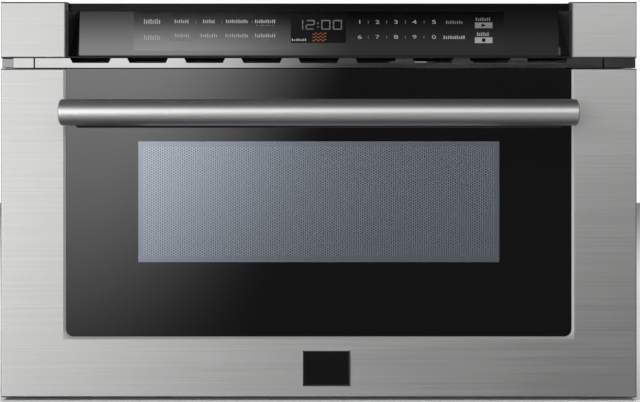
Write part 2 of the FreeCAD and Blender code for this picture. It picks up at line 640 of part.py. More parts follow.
def handle():
    """Round bar with softened ends on two posts."""
    bar = body("handle_bar")
    axis_y = f"({FRONT} - dim.handle_standoff)"
    pad(bar, "x", f"-{HANDLE_HALF}", HANDLE_HALF, circles=[(axis_y, HANDLE_Z, "dim.handle_diameter/2")])
    rims = [f"Edge{n}" for n, edge in enumerate(bar.Shape.Edges, start=1)
            if edge.BoundBox.XLength < 0.01]
    finish(bar, "Fillet", "dim.handle_end_r", rims)
    posts = []
    for side, sign in (("left", "-"), ("right", "")):
        centre = (f"{sign}1*{POST_X}", HANDLE_Z)
        shank = rod(f"post_shank_{side}", "y", centre, axis_y, GLASS_FRONT, "dim.post_diameter/2")
        foot = rod(f"post_foot_{side}", "y", centre, f"({GLASS_FRONT} - dim.post_foot_height)",
                   GLASS_FRONT, "dim.post_foot_diameter/2")
        posts += [shank, foot]
    saddle = rod("post_saddle", "x", (axis_y, HANDLE_Z), f"-{HANDLE_HALF}", HANDLE_HALF,
                 "dim.handle_diameter/2")
    node("handle_posts", cut("handle_posts_cut", fuse("handle_posts_blank", posts), [saddle]))


def badge_plate():
    """Plain plate with a raised rim, left blank."""
    plate = body("badge_plate")
    left, right = "(dim.badge_offset - dim.badge_width/2)", "(dim.badge_offset + dim.badge_width/2)"
    low, high = f"({BADGE_MIDDLE} - dim.badge_height/2)", f"({BADGE_MIDDLE} + dim.badge_height/2)"
    front = f"({FRONT} - dim.badge_thickness)"
    rim = "dim.badge_rim"
    pad(plate, "y", front, FRONT, [rectangle(left, right, low, high)])
    pocket(plate, "y", f"({front} - {PAST})", f"({front} + dim.badge_sink)",
           [rectangle(f"({left} + {rim})", f"({right} - {rim})", f"({low} + {rim})", f"({high} - {rim})")])


# Tub and tray
TUB_HALF = f"({CAVITY_HALF} - dim.tub_side_gap)"
TUB_BOTTOM = "(dim.cavity_floor + dim.tub_floor_gap)"
TUB_TOP = f"({CAVITY_TOP} - dim.tub_over)"
TUB_BACK = f"({CAVITY_BACK} - dim.tub_back_gap)"
TUB_INNER = f"({TUB_HALF} - dim.tub_rim)"
TUB_FLOOR = f"({TUB_BOTTOM} + dim.tub_wall)"


def tub():
    """Moulded tub, open towards the window, with a rolled rim and large back corners."""
    shell = body("tub")
    pad(shell, "z", TUB_BOTTOM, TUB_TOP, [centred(TUB_HALF, DOOR_BACK, TUB_BACK)])
    finish(shell, "Fillet", "dim.tub_corner_r",
           edges(shell.Shape, "z", x=(TUB_HALF, f"-{TUB_HALF}"), y=(TUB_BACK,)))
    inner_back = f"({TUB_BACK} - dim.tub_rim)"
    pocket(shell, "z", TUB_FLOOR, f"({TUB_TOP} + {PAST})",
           [centred(TUB_INNER, f"({DOOR_BACK} - {PAST})", inner_back)])
    finish(shell, "Fillet", "(dim.tub_corner_r - dim.tub_rim)",
           edges(shell.Shape, "z", x=(TUB_INNER, f"-{TUB_INNER}"), y=(inner_back,)))
    under_rim = f"({TUB_TOP} - dim.tub_rim)"
    skirt, beside = f"({TUB_INNER} + dim.tub_wall)", f"({TUB_HALF} + {PAST})"
    below = f"({TUB_BOTTOM} - {PAST})"
    for sign in ("", "-"):
        side = [(f"{sign}1*{skirt}", below), (f"{sign}1*{beside}", below),
                (f"{sign}1*{beside}", under_rim), (f"{sign}1*{skirt}", under_rim)]
        pocket(shell, "y", f"({DOOR_BACK} - {PAST})", f"({TUB_BACK} - dim.tub_corner_r)", [side])


def tub_tray():
    """Glass-ceramic tray with rounded corners and a shallow well."""
    tray = body("tub_tray")
    half = f"({TUB_INNER} - dim.tray_margin)"
    front, back = "(dim.tray_margin)", f"({TUB_BACK} - dim.tub_rim - dim.tray_margin)"
    top = f"({TUB_FLOOR} + dim.tray_thickness)"
    pad(tray, "z", TUB_FLOOR, top, [centred(half, front, back)])
    finish(tray, "Fillet", "dim.tray_margin",
           edges(tray.Shape, "z", x=(half, f"-{half}"), y=(front, back)))
    pocket(tray, "z", f"({top} - dim.tray_well)", f"({top} + {PAST})",
           [centred(f"({half} - dim.tray_rim)", f"({front} + dim.tray_rim)", f"({back} - dim.tray_rim)")])


# Telescopic slides
def channel(sign, inset, reach, lip):
    """Outline of a C channel that opens towards the middle, nested by an inset."""
    t = "dim.rail_sheet"
    web, mouth = inset, f"({reach})"
    half = f"(dim.rail_height/2 - ({inset}))"
    spots = [(web, half), (mouth, half), (mouth, f"({half} - {lip})"),
             (f"({mouth} - {t})", f"({half} - {lip})"), (f"({mouth} - {t})", f"({half} - {t})"),
             (f"({web} + {t})", f"({half} - {t})")]
    outline = [(u, v) for u, v in spots] + [(u, f"-{v}") for u, v in reversed(spots)]
    return [(f"{sign}1*({RAIL_FACE} - ({u}))", f"(dim.rail_axis_height + {v})") for u, v in outline]


def slides():
    """Outer, middle and inner member of the slide on each side."""
    reach = "dim.rail_depth"
    for side, sign in (("left", "-"), ("right", "")):
        outer = body(f"slide_outer_{side}")
        pad(outer, "y", "dim.rail_start", RAIL_END, [channel(sign, "0", reach, "dim.rail_lip")])
        middle = body(f"slide_middle_{side}")
        pad(middle, "y", "dim.rail_start", RAIL_END,
            [channel(sign, STEP, f"{reach} - {STEP}", "dim.rail_lip")])
        inner = body(f"slide_inner_{side}")
        pad(inner, "y", "dim.rail_start", RAIL_END, [inner_outline(sign)])


def inner_outline(sign):
    """Outline of the inner member: a C that opens outwards, with a raised pad on its web."""
    t = "dim.rail_sheet"
    web = f"(dim.rail_depth - 2*{STEP})"
    half = f"(dim.rail_height/2 - 2*{STEP})"
    tip = f"(2*{STEP})"
    pad_half, pad_top = f"({half}*0.6)", f"({web} + dim.rail_pad)"
    spots = [(tip, half), (web, half), (web, pad_half), (pad_top, pad_half)]
    inside = [(tip, f"({half} - {t})"), (f"({web} - {t})", f"({half} - {t})")]
    outline = spots + [(u, f"-{v}") for u, v in reversed(spots)]
    outline += [(u, f"-{v}") for u, v in inside] + list(reversed(inside))
    return [(f"{sign}1*({RAIL_FACE} - {u})", f"(dim.rail_axis_height + {v})") for u, v in outline]


def carriers():
    """Arm on each side that joins the drawer front to the inner slide member."""
    low = "(dim.rail_axis_height - dim.carrier_height/2)"
    high = "(dim.rail_axis_height + dim.carrier_height/2)"
    inside = f"({PAD_FACE} - dim.carrier_sheet)"
    for side, sign in (("left", "-"), ("right", "")):
        arm = body(f"carrier_{side}")
        plan = [(inside, DOOR_BACK), (f"({PAD_FACE} + dim.carrier_flange)", DOOR_BACK),
                (f"({PAD_FACE} + dim.carrier_flange)", f"({DOOR_BACK} + dim.carrier_sheet)"),
                (PAD_FACE, f"({DOOR_BACK} + dim.carrier_sheet)"), (PAD_FACE, RAIL_END), (inside, RAIL_END)]
        pad(arm, "z", low, high, [[(f"{sign}1*{x}", y) for x, y in plan]])
        above, step = f"({high} + {PAST})", f"({high} - dim.carrier_taper)"
        middle, end = f"({RAIL_END}/2)", f"({RAIL_END} + {PAST})"
        taper = [(middle, above), (end, above), (end, step), (f"({middle} + dim.carrier_slope)", step)]
        sides = (f"{sign}1*({PAD_FACE} + {PAST})", f"{sign}1*({inside} - {PAST})")
        low_x, high_x = sides if sign else sides[::-1]
        pocket(arm, "x", low_x, high_x, [taper])


# Rack and pinion
PITCH = "(dim.tooth_module*pi)"
RACK_FACE = f"({PAD_FACE} - dim.carrier_sheet)"
PITCH_LINE = f"({RACK_FACE} - dim.rack_back - dim.tooth_module)"
PINION_X = f"({PITCH_LINE} - {PITCH_R})"
RACK_TOP = "(dim.rack_bottom + dim.rack_height)"
ADDENDUM = 0.66
DEDENDUM = 1.0
PRESSURE_ANGLE = math.radians(20)


def rack():
    """Toothed bar on the right carrier; its teeth point at the pinion and are centred on a gap."""
    bar = body("rack")
    pinion_y, pitch = "dim.pinion_place", value(PITCH)
    count = int(value("(dim.travel + dim.rack_overrun)") / pitch) + 1
    first = -int((value(pinion_y) - value("dim.rail_start")) / pitch - 0.5)
    line, module = PITCH_LINE, "dim.tooth_module"
    slope = math.tan(PRESSURE_ANGLE)
    half_tooth = f"({PITCH}/4 - dim.tooth_backlash/2)"
    back = f"({line} + {module}*{DEDENDUM})"
    low_y = f"({pinion_y} + {PITCH}*{first - 0.5})"
    high_y = f"({pinion_y} + {PITCH}*{first + count - 0.5})"
    pad(bar, "z", "dim.rack_bottom", RACK_TOP, [rectangle(back, RACK_FACE, low_y, high_y)])
    centre = f"({pinion_y} + {PITCH}*{first})"
    root = f"({half_tooth} + {module}*{DEDENDUM * slope})"
    tip = f"({half_tooth} - {module}*{ADDENDUM * slope})"
    foot, crest = f"({back} + 0.2)", f"({line} - {module}*{ADDENDUM})"
    tooth = [(foot, f"({centre} - {root})"), (crest, f"({centre} - {tip})"),
             (crest, f"({centre} + {tip})"), (foot, f"({centre} + {root})")]
    first_tooth = pad(bar, "z", "dim.rack_bottom", RACK_TOP, [tooth])
    repeat(bar, first_tooth, PITCH, count, "V_Axis")


def involute(base, radius, turn, side):
    """Point of an involute at a radius, turned about the wheel's axis."""
    spread = math.acos(min(1, base / radius))
    angle = turn + side * (math.tan(spread) - spread)
    return Vector(radius * math.cos(angle), radius * math.sin(angle), 0)


def drive_pinion():
    """Involute pinion with its shaft; one tooth gap faces the rack tooth beside it."""
    count, module = int(value("dim.pinion_teeth")), value("dim.tooth_module")
    pitch_r = value(PITCH_R)
    base = pitch_r * math.cos(PRESSURE_ANGLE)
    tip_r, root_r = pitch_r + module * 0.85, pitch_r - module * 0.95
    rise = math.tan(PRESSURE_ANGLE) - PRESSURE_ANGLE
    half = math.pi / (2 * count) - value("dim.tooth_backlash") / (2 * pitch_r) + rise
    pieces = []
    for tooth in range(count):
        middle = 2 * math.pi * (tooth + 0.5) / count
        low, high = [], []
        for step in range(4):
            radius = base + (tip_r - base) * step / 3
            low.append(involute(base, radius, middle - half, 1))
            high.append(involute(base, radius, middle + half, -1))
        next_low = middle + 2 * math.pi / count - half
        foot_a = Vector(root_r * math.cos(middle + half), root_r * math.sin(middle + half), 0)
        foot_b = Vector(root_r * math.cos(next_low), root_r * math.sin(next_low), 0)
        bottom = (middle + half + next_low) / 2
        low_root = Vector(root_r * math.cos(middle - half), root_r * math.sin(middle - half), 0)
        pieces.append(Part.LineSegment(low_root, low[0]).toShape())
        pieces.append(spline(low))
        crest = Vector(tip_r * math.cos(middle), tip_r * math.sin(middle), 0)
        pieces.append(Part.Arc(low[-1], crest, high[-1]).toShape())
        pieces.append(spline(high[::-1]))
        pieces.append(Part.LineSegment(high[0], foot_a).toShape())
        valley = Vector(root_r * math.cos(bottom), root_r * math.sin(bottom), 0)
        pieces.append(Part.Arc(foot_a, valley, foot_b).toShape())
    low_z, high_z = value("dim.rack_bottom"), value(RACK_TOP)
    wheel = Part.Face(Part.Wire(pieces)).extrude(Vector(0, 0, high_z - low_z))
    shaft_r = value("dim.shaft_diameter") / 2
    shaft_low = value("(dim.sheet + dim.gearbox_height - dim.shaft_sunk)")
    shaft = Part.makeCylinder(shaft_r, high_z - shaft_low + 3, Vector(0, 0, shaft_low - low_z))
    pinion = node("drive_pinion", doc.addObject("Part::Feature", "drive_pinion"))
    pinion.Shape = wheel.fuse(shaft).removeSplitter()
    pinion.Placement.Base = Vector(value(PINION_X), value("dim.pinion_place"), low_z)


def spline(points):
    curve = Part.BSplineCurve()
    curve.interpolate(points)
    return curve.toShape()


def drive_unit():
    """Flat gearbox on the base with a bore for the pinion shaft, and the motor behind it."""
    top = "(dim.sheet + dim.gearbox_height)"
    gearbox = body("drive_gearbox")
    right = f"({PINION_X} + dim.gearbox_end)"
    left = f"({right} - dim.gearbox_length)"
    front, back = "dim.gearbox_front", "(dim.gearbox_front + dim.gearbox_depth)"
    pad(gearbox, "z", "dim.sheet", top, [rectangle(left, right, front, back)])
    finish(gearbox, "Fillet", "dim.gearbox_edge_r",
           edges(gearbox.Shape, "z", x=(left, right), y=(front, back)))
    boss_top = f"({top} + dim.gearbox_boss)"
    axis = (PINION_X, "dim.pinion_place")
    pad(gearbox, "z", f"({top} - {PAST})", boss_top, circles=[(*axis, "dim.gearbox_boss_r")])
    pocket(gearbox, "z", f"({top} - dim.shaft_sunk - {PAST})", f"({boss_top} + {PAST})",
           circles=[(*axis, "(dim.shaft_diameter/2 + dim.shaft_fit)")])
    motor = (f"({PINION_X} - dim.motor_offset)", "(dim.pinion_place + dim.motor_behind)")
    can_top = f"({top} + dim.motor_height)"
    can = rod("motor_can", "z", motor, top, can_top, "dim.motor_r")
    cap = rod("motor_cap", "z", motor, can_top, f"({can_top} + dim.motor_cap_height)", "dim.motor_cap_r")
    node("drive_motor", fuse("drive_motor_parts", [can, cap]))


# Fixed front
def cheeks():
    """Steel tray on each side of the control panel, open at the back."""
    for side, sign in (("left", "-"), ("right", "")):
        cheek = body(f"cheek_{side}")
        x_inner, x_outer = f"{sign}1*{PANEL_HALF}", f"{sign}1*{FRONT_HALF}"
        pad(cheek, "y", FRONT, PLATE_FRONT, [rectangle(x_inner, x_outer, CONTROL_BOTTOM, FRONT_TOP)])
        finish(cheek, "Fillet", "dim.skin_edge_r",
               edges(cheek.Shape, "z", x=(x_inner, x_outer), y=(FRONT,))
               + edges(cheek.Shape, "x", y=(FRONT,), z=(CONTROL_BOTTOM, FRONT_TOP)))
        pocket(cheek, "y", f"({FRONT} + dim.skin)", f"({PLATE_FRONT} + {PAST})",
               [rectangle(f"{sign}1*({PANEL_HALF} + dim.skin)", f"{sign}1*({FRONT_HALF} - dim.skin)",
                          f"({CONTROL_BOTTOM} + dim.skin)", f"({FRONT_TOP} - dim.skin)")])


RAIL_WINDOW_LOW = "(dim.rail_axis_height - dim.carrier_height/2 - dim.window_clear)"
RAIL_WINDOW_HIGH = "(dim.rail_axis_height + dim.carrier_height/2 + dim.window_clear)"
RAIL_WINDOW_INNER = f"({PITCH_LINE} - dim.tooth_module - dim.window_clear)"
TONGUE_X = f"({CAVITY_HALF} + dim.tongue_outside)"
TONGUE_Z = f"((dim.cavity_floor + {CAVITY_TOP})/2)"


def front_plate():
    """Flange that covers the cut-out's edge, with openings for tub, slides, tongues and controls."""
    plate = body("front_plate")
    pad(plate, "y", PLATE_FRONT, "0",
        [centred(f"({FRONT_HALF} - dim.plate_inset)", "dim.plate_bottom", PLATE_TOP)])
    low, high = f"({PLATE_FRONT} - {PAST})", PAST
    pocket(plate, "y", low, high, [centred(CAVITY_HALF, "dim.cavity_floor", CAVITY_TOP)])
    controls = (f"({DRAWER_TOP} + dim.window_clear)", f"({PLATE_TOP} + {PAST})")
    pocket(plate, "y", low, high, [centred(f"({PANEL_HALF} + {PAST})", *controls)])
    beside = "(dim.tongue_thickness/2 + dim.window_clear)"
    above = "(dim.tongue_height/2 + dim.window_clear)"
    for sign in ("", "-"):
        pocket(plate, "y", low, high,
               [rectangle(f"{sign}1*{RAIL_WINDOW_INNER}", f"{sign}1*({RAIL_FACE} + dim.window_clear)",
                          RAIL_WINDOW_LOW, RAIL_WINDOW_HIGH)])
        pocket(plate, "y", low, high,
               [rectangle(f"{sign}1*({TONGUE_X} - {beside})", f"{sign}1*({TONGUE_X} + {beside})",
                          f"({TONGUE_Z} - {above})", f"({TONGUE_Z} + {above})")])
    holes = [(f"{sign}1*({FRONT_HALF} - dim.cabinet_hole_inset)", height, "dim.cabinet_hole_r")
             for sign in ("", "-")
             for height in ("dim.cabinet_hole_low", f"({FRONT_TOP} - dim.cabinet_hole_drop)")]
    pocket(plate, "y", low, high, circles=holes)


# The control glass leans back: its lower edge is at the front and its upper edge deep in the recess.
HOUSING_FRONT = f"({FRONT} + dim.housing_setback)"
HOUSING_LOW = f"({CONTROL_BOTTOM} + dim.fit_gap)"
HOUSING_HIGH = f"({FRONT_TOP} - dim.fit_gap)"
SEAT_LOW_Z = f"({HOUSING_LOW} + dim.panel_rise)"
SEAT_HIGH_Z = f"({HOUSING_HIGH} - dim.panel_top)"
SEAT_LOW_Y = f"({HOUSING_FRONT} + dim.control_glass_run + dim.fit_gap)"
SEAT_HIGH_Y = f"({FRONT} + dim.recess_depth + dim.control_glass_run)"
SEAT_LEAN = f"(({SEAT_HIGH_Y} - {SEAT_LOW_Y})/({SEAT_HIGH_Z} - {SEAT_LOW_Z}))"
HOUSING_BACK = f"({SEAT_HIGH_Y} + dim.housing_behind)"
HOUSING_HALF = f"({PANEL_HALF} - dim.fit_gap)"
RECESS_HALF = f"({HOUSING_HALF} - dim.housing_wall)"


def seat(height):
    """Y of the glass seat at a height."""
    return f"({SEAT_LOW_Y} + {SEAT_LEAN}*(({height}) - {SEAT_LOW_Z}))"


def leaning_slab(low, high, behind, run):
    """YZ outline of a slab that lies along the glass seat."""
    return [(f"({seat(low)} + {behind})", low), (f"({seat(high)} + {behind})", high),
            (f"({seat(high)} + {behind} + {run})", high), (f"({seat(low)} + {behind} + {run})", low)]


def control_section():
    """Moulded housing, open above, with a leaning front rail; the leaning glass, its board and display."""
    housing = body("control_housing")
    pad(housing, "x", f"-{HOUSING_HALF}", HOUSING_HALF,
        [rectangle(HOUSING_FRONT, HOUSING_BACK, HOUSING_LOW, HOUSING_HIGH)])
    ahead, above = f"({HOUSING_FRONT} - {PAST})", f"({HOUSING_HIGH} + {PAST})"
    recess = [(ahead, SEAT_LOW_Z), (SEAT_LOW_Y, SEAT_LOW_Z), (SEAT_HIGH_Y, SEAT_HIGH_Z),
              (SEAT_HIGH_Y, above), (ahead, above)]
    pocket(housing, "x", f"-{RECESS_HALF}", RECESS_HALF, [recess])
    rib = "dim.housing_rib"
    inner_low, inner_high = f"({HOUSING_LOW} + dim.housing_wall)", f"({SEAT_HIGH_Z} - {rib})"
    behind = f"({HOUSING_BACK} + {PAST})"
    hollow = [(f"({seat(inner_low)} + {rib})", inner_low), (f"({seat(inner_high)} + {rib})", inner_high),
              (behind, inner_high), (behind, inner_low)]
    pocket(housing, "x", f"-{RECESS_HALF}", RECESS_HALF, [hollow])
    rail_low = f"({HOUSING_HIGH} - dim.housing_rail_height)"
    rail_back = f"({HOUSING_FRONT} + {SEAT_LEAN}*dim.housing_rail_height)"
    rail = [(HOUSING_FRONT, rail_low), (rail_back, HOUSING_HIGH),
            (f"({rail_back} + dim.housing_rail_run)", HOUSING_HIGH),
            (f"({HOUSING_FRONT} + dim.housing_rail_run)", rail_low)]
    pad(housing, "x", f"-({RECESS_HALF} + {PAST})", f"({RECESS_HALF} + {PAST})", [rail])
    glass = body("control_glass")
    half = f"({RECESS_HALF} - dim.fit_gap)"
    pad(glass, "x", f"-{half}", half,
        [leaning_slab(f"({SEAT_LOW_Z} + dim.fit_gap)", f"({SEAT_HIGH_Z} - dim.fit_gap)",
                      "-dim.control_glass_run", "dim.control_glass_run")])
    board_low = f"({inner_low} + dim.touch_board_margin)"
    board_high = f"({inner_high} - dim.touch_board_margin)"
    board = body("touch_board")
    half, board_front = f"({RECESS_HALF} - dim.touch_board_inset)", f"({rib} + dim.fit_gap)"
    pad(board, "x", f"-{half}", half,
        [leaning_slab(board_low, board_high, board_front, "dim.touch_board_run")])
    display = body("display_module")
    display_low, display_high = f"({board_low} + dim.display_margin)", f"({board_high} - dim.display_margin)"
    board_back = f"({board_front} + dim.touch_board_run)"
    pad(display, "x", "-dim.display_width/2", "dim.display_width/2",
        [leaning_slab(display_low, display_high, board_back, "dim.display_run")])


GRILLE_FRONT = f"({FRONT} + dim.grille_setback)"
GRILLE_LOW = f"({DRAWER_TOP} + dim.grille_under)"
GRILLE_HIGH = f"({CONTROL_BOTTOM} - dim.grille_over)"
GRILLE_HALF = f"({FRONT_HALF} - dim.grille_inset)"
SLOT_TOP = f"((2*{PANEL_HALF} - 2*dim.slot_margin - (dim.slot_count - 1)*dim.slot_tab)/dim.slot_count)"
SLOT_PITCH = f"({SLOT_TOP} + dim.slot_tab)"


def seam_angle(front):
    """YZ outline of a steel angle in the seam, from its front wall back to the front plate."""
    under, behind = f"({GRILLE_HIGH} - dim.sheet)", f"({front} + dim.skin)"
    return [(front, GRILLE_LOW), (front, GRILLE_HIGH), (PLATE_FRONT, GRILLE_HIGH),
            (PLATE_FRONT, under), (behind, under), (behind, GRILLE_LOW)]


def vent_grille():
    """Stainless strip in the seam with a row of tapered slots, and a bright bracket beside each end."""
    grille = body("vent_grille")
    pad(grille, "x", f"-{GRILLE_HALF}", GRILLE_HALF, [seam_angle(GRILLE_FRONT)])
    middle = f"(-{SLOT_PITCH}*(dim.slot_count - 1)/2)"
    slot_low, top_half = f"({GRILLE_HIGH} - dim.slot_height - dim.grille_over)", f"({SLOT_TOP}/2)"
    bottom_half, slot_high = f"({top_half} - dim.slot_slant)", f"({GRILLE_HIGH} + {PAST})"
    slot = [(f"({middle} - {bottom_half})", slot_low), (f"({middle} + {bottom_half})", slot_low),
            (f"({middle} + {top_half})", slot_high), (f"({middle} - {top_half})", slot_high)]
    first = pocket(grille, "y", f"({GRILLE_FRONT} - {PAST})",
                   f"({GRILLE_FRONT} + dim.slot_depth)", [slot])
    repeat(grille, first, SLOT_PITCH, "dim.slot_count")
    pair = []
    inner = f"({GRILLE_HALF} + dim.bracket_gap)"
    middle, outer = f"({inner} + dim.bracket_width)", f"({FRONT_HALF} - dim.bracket_end)"
    for side, sign in (("left", "-"), ("right", "")):
        bracket = doc.addObject("PartDesign::Body", f"seam_bracket_{side}")
        stepped = f"({GRILLE_FRONT} + dim.bracket_step)"
        for near, far, front in ((inner, middle, GRILLE_FRONT), (middle, outer, stepped)):
            spots = (f"{sign}1*{near}", f"{sign}1*{far}")
            pad(bracket, "x", *(spots[::-1] if sign else spots), [seam_angle(front)])
        pair.append(bracket)
    joined = doc.addObject("Part::Compound", "seam_bracket_pair")
    joined.Links = pair
    node("seam_brackets", joined)


# Cavity and its top
DOME_BOTTOM = f"({CAVITY_TOP} + dim.cavity_sheet)"
DOME_TOP = f"({DOME_BOTTOM} + dim.dome_height)"
STIRRER = ("0", f"({CAVITY_BACK}*dim.stirrer_share)")
TUBE = ("0", f"({CHASSIS_BACK} - dim.tube_place)")


def cavity():
    """Cooking cavity: a folded box open at the front, with a round stirrer opening in its roof."""
    shell = body("cavity_shell")
    t = "dim.cavity_sheet"
    outer_half, roof = f"({CAVITY_HALF} + {t})", f"({CAVITY_TOP} + {t})"
    pad(shell, "y", "0", f"({CAVITY_BACK} + {t})", [centred(outer_half, f"(dim.cavity_floor - {t})", roof)])
    pocket(shell, "y", f"-{PAST}", CAVITY_BACK, [centred(CAVITY_HALF, "dim.cavity_floor", CAVITY_TOP)])
    pocket(shell, "z", f"({CAVITY_TOP} - {PAST})", f"({roof} + {PAST})",
           circles=[(*STIRRER, "(dim.dome_r - dim.dome_rim)")])
    slot_front = f"({CAVITY_BACK} - dim.cavity_slot_pitch*(dim.cavity_slot_count + 2))"
    slot_high = f"({CAVITY_TOP} - dim.lamp_drop - dim.lamp_base_r)"
    slot = pocket(shell, "x", f"(-{outer_half} - {PAST})", f"(-{CAVITY_HALF} + {PAST})",
                  [rectangle(slot_front, f"({slot_front} + dim.vent_slot_width)",
                             f"({slot_high} - dim.cavity_slot_length)", slot_high)])
    repeat(shell, slot, "dim.cavity_slot_pitch", "dim.cavity_slot_count")
    dome = body("stirrer_dome")
    pad(dome, "z", DOME_BOTTOM, DOME_TOP, circles=[(*STIRRER, "dim.dome_r")])
    upper = [f"Edge{n}" for n, edge in enumerate(dome.Shape.Edges, start=1)
             if abs(edge.BoundBox.ZMin - value(DOME_TOP)) < 0.01]
    finish(dome, "Fillet", "dim.dome_edge_r", upper)
    pocket(dome, "z", f"({DOME_BOTTOM} - {PAST})", f"({DOME_TOP} - {t})",
           circles=[(*STIRRER, "(dim.dome_r - dim.dome_edge_r - dim.skin)")])
    pocket(dome, "z", f"({DOME_TOP} - {t} - {PAST})", f"({DOME_TOP} + {PAST})",
           circles=[(*STIRRER, "dim.coupling_hole_r")])
    node("stirrer_cover", rod("stirrer_cover_disc", "z", STIRRER, f"({CAVITY_TOP} - dim.cover_thickness)",
                              CAVITY_TOP, "(dim.dome_r - dim.cover_thickness)"))


def stirrer():
    """Vaned stirrer under the dome, and the waveguide with the small motor on top of it."""
    low = f"({DOME_BOTTOM} + dim.stirrer_lift)"
    top = f"({DOME_TOP} + dim.guide_height)"
    hub = rod("stirrer_hub", "z", STIRRER, low, top, "dim.spindle_r")
    disc = rod("stirrer_disc", "z", STIRRER, low, f"({low} + dim.spindle_r/2)", "(4.5*dim.spindle_r)")
    blades = [hub, disc]
    for index in range(3):
        blade = box(f"stirrer_vane_{index}", ("2.5*dim.spindle_r", "dim.stirrer_reach"),
                    ("-dim.vane_width/2", "dim.vane_width/2"), (low, f"({low} + dim.vane_thickness)"))
        vane = doc.addObject("Part::Compound", f"stirrer_arm_{index}")
        vane.Links = [blade]
        vane.Placement.Rotation = Rotation(Vector(0, 0, 1), 120 * index)
        vane.setExpression("Placement.Base.y", STIRRER[1])
        blades.append(vane)
    node("stirrer_blade", fuse("stirrer_parts", blades))
    guide = body("waveguide")
    t = "dim.cavity_sheet"
    half = "(dim.guide_width/2)"
    front, back = f"({STIRRER[1]} - dim.guide_front)", f"({TUBE[1]} + dim.guide_end)"
    pad(guide, "x", f"-{half}", half, [rectangle(front, back, DOME_TOP, top)])
    finish(guide, "Chamfer", "dim.guide_slant", edges(guide.Shape, "x", y=(front,), z=(top,)))
    pocket(guide, "x", f"(-{half} + {t})", f"({half} - {t})",
           [rectangle(f"({front} + dim.guide_slant)", f"({back} - {t})",
                      f"({DOME_TOP} + {t})", f"({top} - {t})")])
    floor = (f"({DOME_TOP} - {PAST})", f"({DOME_TOP} + {t} + {PAST})")
    for centre, radius in ((STIRRER, "dim.coupling_hole_r"), (TUBE, "dim.antenna_hole_r")):
        pocket(guide, "z", *floor, circles=[(*centre, radius)])
    pocket(guide, "z", f"({top} - {t} - {PAST})", f"({top} + {PAST})",
           circles=[(*STIRRER, "(dim.spindle_r + dim.sheet)")])
    motor = body("stirrer_motor")
    pad(motor, "z", top, f"({top} + dim.stirrer_motor_height)", circles=[(*STIRRER, "dim.stirrer_motor_r")])
    pocket(motor, "z", f"({top} - {PAST})", f"({top} + 3*{PAST})",
           circles=[(*STIRRER, "(dim.spindle_r + dim.fit_gap)")])


def magnetron():
    """Finned magnetron under the waveguide: yoke frame, cooling fins, filter box and antenna."""
    half, side, t = "(dim.tube_depth/2)", "(dim.tube_width/2)", "dim.tube_sheet"
    y_low, y_high = f"({TUBE[1]} - {half})", f"({TUBE[1]} + {half})"
    top, under = DOME_TOP, f"({DOME_TOP} - dim.tube_height)"
    inside = f"({side} - {t})"
    yoke = cut("magnetron_yoke",
               box("magnetron_frame", (f"-{side}", side), (y_low, y_high), (under, top)),
               [box("magnetron_inside", (f"-{inside}", inside),
                    (f"({y_low} - {PAST})", f"({y_high} + {PAST})"),
                    (f"({under} + {t})", f"({top} - {t})"))])
    core = rod("magnetron_core", "z", TUBE, f"({under} + {t}/2)", f"({top} - {t}/2)", "dim.tube_core_r")
    parts = [yoke, core]
    fins = (f"({y_low} + 2*{t})", f"({y_high} - 2*{t})")
    for index in range(int(value("dim.fin_count"))):
        fin_low = f"({under} + 6*{t} + dim.fin_pitch*{index})"
        parts.append(box(f"magnetron_fin_{index}", (f"-({inside} + {t}/4)", f"({inside} + {t}/4)"), fins,
                         (fin_low, f"({fin_low} + {t}/2)")))
    filter_half = f"({side} - 4*{t})"
    parts.append(box("magnetron_filter", (f"-{filter_half}", filter_half), fins,
                     (f"({under} - dim.filter_height + {t}/4)", f"({under} + {t}/4)")))
    parts.append(rod("magnetron_antenna", "z", TUBE, f"({top} - {t}/2)", f"({top} + dim.antenna_height)",
                     "dim.antenna_r"))
    node("magnetron", fuse("magnetron_parts", parts))


# Rear compartment
FAN_BACK = f"({CHASSIS_BACK} - dim.sheet)"
FAN_FRONT = f"({FAN_BACK} - dim.fan_depth - 2*dim.fan_arm_depth)"
FAN = (f"(-({CHASSIS_HALF} - dim.fan_inset))", f"({CHASSIS_TOP} - dim.fan_drop)")


